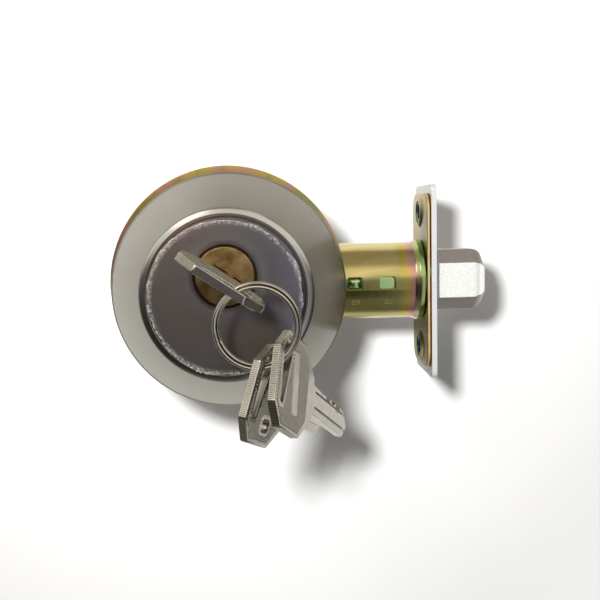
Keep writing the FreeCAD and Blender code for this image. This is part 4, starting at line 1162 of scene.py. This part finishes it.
# Keys: brass blanks stamped from sheet and nickel plated, with a diamond knurl rolled into the bow,
# a wedge-shaped ring slot, milled grooves and five cuts along the blade. The two loose keys have a
# knurled rim too. The knurl stands higher than a rolled one does, so that its valleys show.
KEY_HALF = 0.95
KNURL_PITCH = 0.62
RIM_PITCH = 0.42
KNURL_RISE = 0.22
CUTS = (0.6, 1.8, 1.2, 2.3, 0.9)
FIRST_CUT = 30
CUT_PITCH = 4
CUT_HALF = 0.95
BLADE_FOOT = -4.0
BOW = ((0, -6.7), (4.4, -11.5), (15.5, -11.5), (21.8, -6.2), (23, -5.4), (23, 5.0), (21.8, 6.0),
       (15.5, 11.5), (4.4, 11.5), (0, 6.7))
RING_SLOT = ((2.4, -8.3), (7.6, -8.3), (4.6, 5.9), (3.0, 5.9))
OBLONG = ((9.4, 5.1), (14.0, 5.1), (14.0, 8.3), (9.4, 8.3))
PANEL = ((8.6, -7.6), (12.2, -8.2), (14.0, 6.6), (10.0, 7.2))


def grown(corners, by):
    """An outline moved outwards by a distance, or inwards if it is below nought."""
    way = 1 if signed_area([c[:2] for c in corners]) > 0 else -1
    moved = []
    for index, corner in enumerate(corners):
        here = Vector(corner[:2])
        back = (here - Vector(corners[index - 1][:2])).normalized()
        ahead = (Vector(corners[(index + 1) % len(corners)][:2]) - here).normalized()
        out_back = Vector((back.y, -back.x)) * way
        out_ahead = Vector((ahead.y, -ahead.x)) * way
        mean = (out_back + out_ahead).normalized()
        moved.append(tuple(here + mean * by / max(0.4, mean.dot(out_back))))
    return moved


def rounded(corners, radius, steps=4):
    return ease([(u, v, radius) for u, v in corners], steps)


knurl_tree = bpy.data.node_groups.new("rolled_knurl", "GeometryNodeTree")
KNURL_SOCKETS = (
    ("Region", "NodeSocketGeometry", "INPUT"),
    ("Pitch", "NodeSocketFloat", "INPUT"),
    ("Rise", "NodeSocketFloat", "INPUT"),
    ("Spread", "NodeSocketFloat", "INPUT"),
    ("Finish", "NodeSocketMaterial", "INPUT"),
    ("Knurl", "NodeSocketGeometry", "OUTPUT"),
)
for socket, kind, way in KNURL_SOCKETS:
    knurl_tree.interface.new_socket(name=socket, in_out=way, socket_type=kind)
given = add_node(knurl_tree, "NodeGroupInput")
cells = add_node(knurl_tree, "ShaderNodeMath", {"operation": "DIVIDE"},
                 {0: given.outputs["Spread"], 1: given.outputs["Pitch"]})
field = add_node(knurl_tree, "GeometryNodeMeshGrid", {},
                 {"Size X": given.outputs["Spread"], "Size Y": given.outputs["Spread"],
                  "Vertices X": cells.outputs[0], "Vertices Y": cells.outputs[0]})
slanted = add_node(knurl_tree, "GeometryNodeTransform",
                   {"Rotation": (0, 0, math.radians(45)), "Translation": (12 * MM, 0, 10 * MM)},
                   {"Geometry": field.outputs["Mesh"]})
probe = add_node(knurl_tree, "GeometryNodeRaycast",
                 {"Ray Direction": (0, 0, -1), "Ray Length": 0.1},
                 {"Target Geometry": given.outputs["Region"]})
kept = add_node(knurl_tree, "GeometryNodeSeparateGeometry", {"domain": "POINT"},
                {"Geometry": slanted.outputs[0], "Selection": probe.outputs["Is Hit"]})
lower_probe = add_node(knurl_tree, "GeometryNodeRaycast",
                       {"Ray Direction": (0, 0, -1), "Ray Length": 0.1},
                       {"Target Geometry": given.outputs["Region"]})
lowered = add_node(knurl_tree, "GeometryNodeSetPosition", {},
                   {"Geometry": kept.outputs["Selection"], "Position": lower_probe.outputs["Hit Position"]})
foot = add_node(knurl_tree, "ShaderNodeMath", {"operation": "MULTIPLY", 1: 0.58},
                {0: given.outputs["Pitch"]})
top = add_node(knurl_tree, "ShaderNodeMath", {"operation": "MULTIPLY", 1: 0.2}, {0: given.outputs["Pitch"]})
diamond = add_node(knurl_tree, "GeometryNodeMeshCone", {"Vertices": 4},
                   {"Radius Top": top.outputs[0], "Radius Bottom": foot.outputs[0],
                    "Depth": given.outputs["Rise"]})
planted = add_node(knurl_tree, "GeometryNodeInstanceOnPoints", {},
                   {"Points": lowered.outputs[0], "Instance": diamond.outputs["Mesh"]})
solid = add_node(knurl_tree, "GeometryNodeRealizeInstances", {}, {0: planted.outputs[0]})
finished = add_node(knurl_tree, "GeometryNodeSetMaterial", {},
                    {"Geometry": solid.outputs[0], "Material": given.outputs["Finish"]})
add_node(knurl_tree, "NodeGroupOutput", {}, {0: finished.outputs[0]})


def grow(name, tree, host, values):
    """Run a Geometry Nodes tree on a host mesh and keep the plain result."""
    step = host.modifiers.new("nodes", "NODES")
    step.node_group = tree
    for item in tree.interface.items_tree:
        if item.in_out == "INPUT" and item.name in values:
            step[item.identifier] = values[item.name]
    bpy.context.view_layer.update()
    mesh = bpy.data.meshes.new_from_object(host.evaluated_get(bpy.context.evaluated_depsgraph_get()))
    bpy.data.objects.remove(host)
    mesh.name = name
    mesh.shade_flat()
    return put_in_scene(name, mesh)


rim_tree = bpy.data.node_groups.new("knurled_rim", "GeometryNodeTree")
RIM_SOCKETS = (
    ("Path", "NodeSocketGeometry", "INPUT"),
    ("Pitch", "NodeSocketFloat", "INPUT"),
    ("Tall", "NodeSocketFloat", "INPUT"),
    ("Finish", "NodeSocketMaterial", "INPUT"),
    ("Ribs", "NodeSocketGeometry", "OUTPUT"),
)
for socket, kind, way in RIM_SOCKETS:
    rim_tree.interface.new_socket(name=socket, in_out=way, socket_type=kind)
given = add_node(rim_tree, "NodeGroupInput")
path = add_node(rim_tree, "GeometryNodeMeshToCurve", {}, {0: given.outputs["Path"]})
spaced = add_node(rim_tree, "GeometryNodeCurveToPoints", {"mode": "LENGTH"},
                  {"Curve": path.outputs[0], "Length": given.outputs["Pitch"]})
width = add_node(rim_tree, "ShaderNodeMath", {"operation": "MULTIPLY", 1: 0.34},
                 {0: given.outputs["Pitch"]})
rib = add_node(rim_tree, "GeometryNodeMeshCylinder", {"Vertices": 6},
               {"Radius": width.outputs[0], "Depth": given.outputs["Tall"]})
placed = add_node(rim_tree, "GeometryNodeInstanceOnPoints", {},
                  {"Points": spaced.outputs["Points"], "Instance": rib.outputs["Mesh"]})
solid = add_node(rim_tree, "GeometryNodeRealizeInstances", {}, {0: placed.outputs[0]})
finished = add_node(rim_tree, "GeometryNodeSetMaterial", {},
                    {"Geometry": solid.outputs[0], "Material": given.outputs["Finish"]})
add_node(rim_tree, "NodeGroupOutput", {}, {0: finished.outputs[0]})

nickel_key, tree, shader = start_finish("nickel_plated_brass", {
    "Base Color": linear("#a8a398"),
    "Metallic": 1.0,
    "Roughness": 0.26,
})
place = add_node(tree, "ShaderNodeTexCoord")
rub = add_node(tree, "ShaderNodeTexNoise", {"Scale": 1 / (2.5 * MM), "Detail": 4.0},
               {"Vector": place.outputs["Object"]})
tone = set_ramp(add_node(tree, "ShaderNodeValToRGB", {}, {0: rub.outputs["Fac"]}), (
    (0.35, "#aca79b"),
    (0.52, "#b6b1a6"),
    (0.68, "#c0b9aa"),
))
tree.links.new(tone.outputs[0], shader.inputs["Base Color"])
fine = add_node(tree, "ShaderNodeTexNoise", {"Scale": 1 / (0.3 * MM), "Detail": 3.0},
                {"Vector": place.outputs["Object"]})
rough = add_node(tree, "ShaderNodeMapRange", {"To Min": 0.2, "To Max": 0.3}, {"Value": fine.outputs["Fac"]})
tree.links.new(rough.outputs[0], shader.inputs["Roughness"])
bump = add_node(tree, "ShaderNodeBump", {"Strength": 0.04, "Distance": 0.02 * MM},
                {"Height": fine.outputs["Fac"]})
tree.links.new(bump.outputs[0], shader.inputs["Normal"])

# Nickel on the knurl's diamonds, lighter than the bow: worn plating on the peaks, and a painted highlight on
# them so that the valleys read darker.
knurl_wear_and_highlight, tree, shader = start_finish("nickel_on_knurl_wear_and_painted_highlight", {
    "Base Color": linear("#c4beb0"),
    "Metallic": 1.0,
    "Roughness": 0.34,
})
place = add_node(tree, "ShaderNodeTexCoord")
worn = add_node(tree, "ShaderNodeTexNoise", {"Scale": 1 / (1.2 * MM), "Detail": 3.0},
                {"Vector": place.outputs["Object"]})
tone = add_node(tree, "ShaderNodeMix", {"data_type": "RGBA", 6: linear("#a39c8c"), 7: linear("#d8d2c4")},
                {0: worn.outputs["Fac"]})
tree.links.new(tone.outputs[2], shader.inputs["Base Color"])


def blade_edge():
    """The blade's outline from inside the bow to the tip, with its cuts along one side."""
    edge = [(21, 3.6), (21, BLADE_FOOT)]
    for index, depth in enumerate(CUTS):
        middle = FIRST_CUT + CUT_PITCH * index
        edge += [(middle - CUT_HALF, BLADE_FOOT + depth), (middle + CUT_HALF, BLADE_FOOT + depth)]
        if index < len(CUTS) - 1:
            edge.append((middle + 2, -3.8))
    return edge + [(47.8, -2.4), (50, 0.4), (47, 3.6)]


def make_key(name, lay, hole, panel, ribbed):
    """A key drawn flat, X from the bow's end to the tip, then laid by a matrix in millimetres."""
    openings = [rounded(RING_SLOT, 0.7)]
    if hole:
        openings.append(rounded(OBLONG, 1.4))
    bow = flat_plate(name, rounded(BOW, 1.0), openings, -KEY_HALF, KEY_HALF, 0.14)
    blade = flat_plate(name + "_blade", blade_edge(), [], -KEY_HALF + 0.03, KEY_HALF - 0.03, 0.1)
    grooves = []
    for low, high, side in ((-1.0, 0.2, 1), (1.2, 2.2, -1), (-2.6, -1.9, -1)):
        middle, half = (low + high) / 2, (high - low) / 2
        outline = ((low, side * 1.2), (high, side * 1.2),
                   (high - 0.15, side * 0.45), (low + 0.15, side * 0.45))
        ends = [(24.5, v, w) for v, w in outline] + [(51, v, w) for v, w in outline]
        sides = [(0, 1, 2, 3), (7, 6, 5, 4)] + [(i, (i + 1) % 4, 4 + (i + 1) % 4, 4 + i) for i in range(4)]
        grooves.append(make_piece("groove", ends, sides))
    carve(blade, grooves)
    carve(bow, [blade], "UNION")
    flatten(bow.data)
    bow.data.materials.clear()
    bow.data.materials.append(nickel_key)
    blanks = [rounded(grown(RING_SLOT, 1.0), 1.2)]
    if hole:
        blanks.append(rounded(grown(OBLONG, 0.8), 1.8))
    if panel:
        blanks.append(rounded(PANEL, 0.4))
    face = rounded(grown(BOW[:3] + ((20.2, -7.2), (20.2, 7.0)) + BOW[7:], -1.1), 0.8)
    made = []
    for side in (1, -1):
        region = flat_plate(name + "_region", face, blanks, -0.02, 0.02, 0.004,
                            Matrix.Translation((0, 0, KEY_HALF - 0.01)))
        knurl = grow(name + "_knurl_" + ("front" if side > 0 else "back"), knurl_tree, region,
                     {"Pitch": KNURL_PITCH * MM, "Rise": KNURL_RISE * MM, "Spread": 36 * MM,
                      "Finish": knurl_wear_and_highlight})
        if side < 0:
            knurl.data.transform(Matrix.Rotation(math.pi, 4, "X") @ Matrix.Scale(-1, 4, (0, 1, 0)))
            knurl.data.flip_normals()
        made.append(knurl)
    if ribbed:
        edge = grown(BOW, -0.1)
        rim_line = [(u * MM, v * MM, 0) for u, v in rounded(edge[7:] + edge[:3], 1.0)]
        path = bpy.data.meshes.new("rim")
        path.from_pydata(rim_line, [(i, i + 1) for i in range(len(rim_line) - 1)], [])
        made.append(grow(name + "_rim", rim_tree, put_in_scene("rim", path),
                         {"Pitch": RIM_PITCH * MM, "Tall": (2 * KEY_HALF - 0.55) * MM,
                          "Finish": knurl_wear_and_highlight}))
    placing = Matrix.Translation(lay.to_translation() * MM) @ lay.to_3x3().to_4x4()
    for piece in [bow] + made:
        piece.data.transform(placing)
    return [bow] + made


def laid(along, side, cross, spot):
    """The matrix that lays a flat key so that a point on it meets a spot on the ring."""
    along = Vector(along).normalized()
    side = Vector(side)
    side = (side - along * side.dot(along)).normalized()
    turn = Matrix((along, side, along.cross(side))).transposed()
    return Matrix.Translation(spot - turn @ Vector(cross)) @ turn.to_4x4()


def ring_spot(degrees):
    turn = math.radians(degrees)
    return RING_CENTRE + Vector((math.cos(turn), 0, math.sin(turn))) * RING_MEAN


# For each key: its name, node and body, how it lies, and whether it has an oblong hole, a raised
# panel and a knurled rim.
BOW_WAY = Vector((math.sin(KEY_TURN), 0, -math.cos(KEY_TURN)))
KEYS = (
    ("key_inserted", "key_in_lock", "plug",
     laid((0, 1, 0), -BOW_WAY, (5.0, -3.8, 0), ring_spot(121.6)), False, True, False),
    ("key_with_hole", "key_two", "key_two",
     laid((0.357, 0.851, -0.384), (-0.287, -0.291, -0.913), (5.0, -6.2, 0), ring_spot(-80)),
     True, False, True),
    ("key_with_panel", "key_three", "key_three",
     laid((0.37, 0.80, -0.47), (-0.135, -0.455, -0.881), (5.0, -5.2, 0), ring_spot(-49)), False, True, True),
)
for name, node, body, lay, hole, panel, ribbed in KEYS:
    parts = make_key(name, lay, hole, panel, ribbed)
    for piece in parts:
        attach(piece, body)
    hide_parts(node)

# Interior rose and thumb-turn: the same satin nickel, spun cap and cast turn piece.
# The turn piece stands square to the bolt when it is home, and here at the angle of the key.
inner_low, inner_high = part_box("interior_rose")
INNER_Y = inner_high.y / MM
inner_rose = lathe("interior_rose_cap", ease((
    (0, INNER_Y),
    (23.5, INNER_Y, 8),
    (28.5, INNER_Y - 1, 4),
    (31.5, INNER_Y - 3.5, 2),
    (32.5, INNER_Y - 6, 1),
    (32.5, inner_low.y / MM),
    (31.0, inner_low.y / MM),
    (31.0, INNER_Y - 6),
    (27.5, INNER_Y - 2.5),
    (23.0, INNER_Y - 1.5),
    (0, INNER_Y - 1.5),
), 6), steps=ROSE_STEPS, sharp=40)
carve(inner_rose, [prism_y("shaft_opening", circle(0, PLUG_Z, 5.3, 64), INNER_Y - 4, INNER_Y + 2)], sharp=40)
inner_rose.data.materials.append(satin_nickel)
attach(inner_rose, "lock_body")
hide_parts("interior_rose")

turn_low, turn_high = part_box("thumb_turn")
TURN_FOOT = turn_low.y / MM
TURN_TOP = turn_high.y / MM
turn_base = lathe("thumb_turn", ease((
    (0, TURN_FOOT),
    (9.0, TURN_FOOT, 0.3),
    (9.0, TURN_FOOT + 2.4, 0.9),
    (0, TURN_FOOT + 2.4),
)), centre=(0, PLUG_Z), steps=96)
grip_points = []
GRIP_ROWS = 14
GRIP_STEPS = 48
GRIP_HALF = (3.5, 13.0)
for row in range(GRIP_ROWS + 1):
    share = row / GRIP_ROWS
    crown = 1 - max(0.0, (share - 0.82) / 0.18) ** 2 * 0.12
    waist = 1 - 0.16 * math.sin(math.pi * min(1, share * 1.1))
    for step in range(GRIP_STEPS):
        turn = 2 * math.pi * step / GRIP_STEPS
        u = math.copysign(abs(math.cos(turn)) ** 0.6, math.cos(turn)) * GRIP_HALF[0] * crown * waist
        v = math.copysign(abs(math.sin(turn)) ** 0.75, math.sin(turn)) * GRIP_HALF[1] * crown
        x, z = upright_to_turned(u, v)
        grip_points.append((x, TURN_FOOT + 1.8 + share * (TURN_TOP - TURN_FOOT - 1.8), z))
grip_faces = [tuple(range(GRIP_STEPS)),
              tuple(range(len(grip_points) - 1, len(grip_points) - GRIP_STEPS - 1, -1))]
for row in range(GRIP_ROWS):
    for step in range(GRIP_STEPS):
        after = (step + 1) % GRIP_STEPS
        grip_faces.append((row * GRIP_STEPS + step, row * GRIP_STEPS + after,
                           (row + 1) * GRIP_STEPS + after, (row + 1) * GRIP_STEPS + step))
grip = make_piece("thumb_grip", grip_points, grip_faces, 40)
rounding = grip.modifiers.new("rounding", "BEVEL")
rounding.width = 0.8 * MM
rounding.segments = 4
rounding.angle_limit = math.radians(50)
settle(grip, 40)
carve(turn_base, [grip], "UNION", 40)
turn_base.data.materials.clear()
cast_nickel, tree, shader = start_finish("satin_nickel_cast", {
    "Base Color": linear("#a6a39b"),
    "Metallic": 1.0,
    "Roughness": 0.32,
})
place = add_node(tree, "ShaderNodeTexCoord")
fine = add_node(tree, "ShaderNodeTexNoise", {"Scale": 1 / (0.25 * MM), "Detail": 3.0},
                {"Vector": place.outputs["Object"]})
rough = add_node(tree, "ShaderNodeMapRange", {"To Min": 0.26, "To Max": 0.42},
                 {"Value": fine.outputs["Fac"]})
tree.links.new(rough.outputs[0], shader.inputs["Roughness"])
tone = add_node(tree, "ShaderNodeMix", {"data_type": "RGBA", 6: linear("#9b978e"), 7: linear("#aeaba3")},
                {0: fine.outputs["Fac"]})
tree.links.new(tone.outputs[2], shader.inputs["Base Color"])
turn_base.data.materials.append(cast_nickel)
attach(turn_base, "spindle")
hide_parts("thumb_turn")

# Works inside the door: plates, hub, pins and screws keep their shape and get their real finish.
# Each is plain stock: pressed steel, die-cast zinc, turned brass, spring steel or zinc-plated screws.


def plain_metal(name, dark, light, grain, roughness):
    """A metal mottled between two tones; grain is the size of its marks in millimetres."""
    material, tree, shader = start_finish(name, {"Metallic": 1.0, "Roughness": roughness})
    place = add_node(tree, "ShaderNodeTexCoord")
    marks = add_node(tree, "ShaderNodeTexNoise", {"Scale": 1 / (grain * MM), "Detail": 4.0},
                     {"Vector": place.outputs["Object"]})
    tone = add_node(tree, "ShaderNodeMix", {"data_type": "RGBA", 6: linear(dark), 7: linear(light)},
                    {0: marks.outputs["Fac"]})
    tree.links.new(tone.outputs[2], shader.inputs["Base Color"])
    rough = add_node(tree, "ShaderNodeMapRange", {"To Min": roughness - 0.08, "To Max": roughness + 0.12},
                     {"Value": marks.outputs["Fac"]})
    tree.links.new(rough.outputs[0], shader.inputs["Roughness"])
    bump = add_node(tree, "ShaderNodeBump", {"Strength": 0.2, "Distance": 0.05 * MM},
                    {"Height": marks.outputs["Fac"]})
    tree.links.new(bump.outputs[0], shader.inputs["Normal"])
    return material


die_cast = plain_metal("die_cast_zinc", "#87888a", "#a5a6a7", 0.6, 0.42)
spring_steel = plain_metal("spring_steel", "#75726c", "#98958e", 1.5, 0.25)
pressed_steel = plain_metal("pressed_steel", "#8b8b88", "#a9a9a5", 1.2, 0.34)
turned_brass = plain_metal("turned_brass", "#a5813f", "#c6a35f", 0.5, 0.28)
screw_zinc = plain_metal("bright_zinc_screw", "#a9acae", "#c8cacb", 0.8, 0.28)
FINISHES = (
    (die_cast, ("cylinder_housing", "plug_driver", "hub")),
    (turned_brass, ("key_pins", "driver_pins", "chamber_cover")),
    (spring_steel, ("pin_springs", "plug_clip", "detent_leaf", "turn_clip", "turn_washer")),
    (pressed_steel, ("tailpiece", "case_rivets", "bolt_roller", "bolt_link", "link_rivet", "turn_shaft",
                     "interior_plate")),
    (backing_zinc, ("case_near_plate", "case_far_plate", "case_collar")),
    (screw_zinc, ("mounting_screws",)),
)
for finish, names in FINISHES:
    for name in names:
        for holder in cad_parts[name].material_slots:
            holder.material = finish
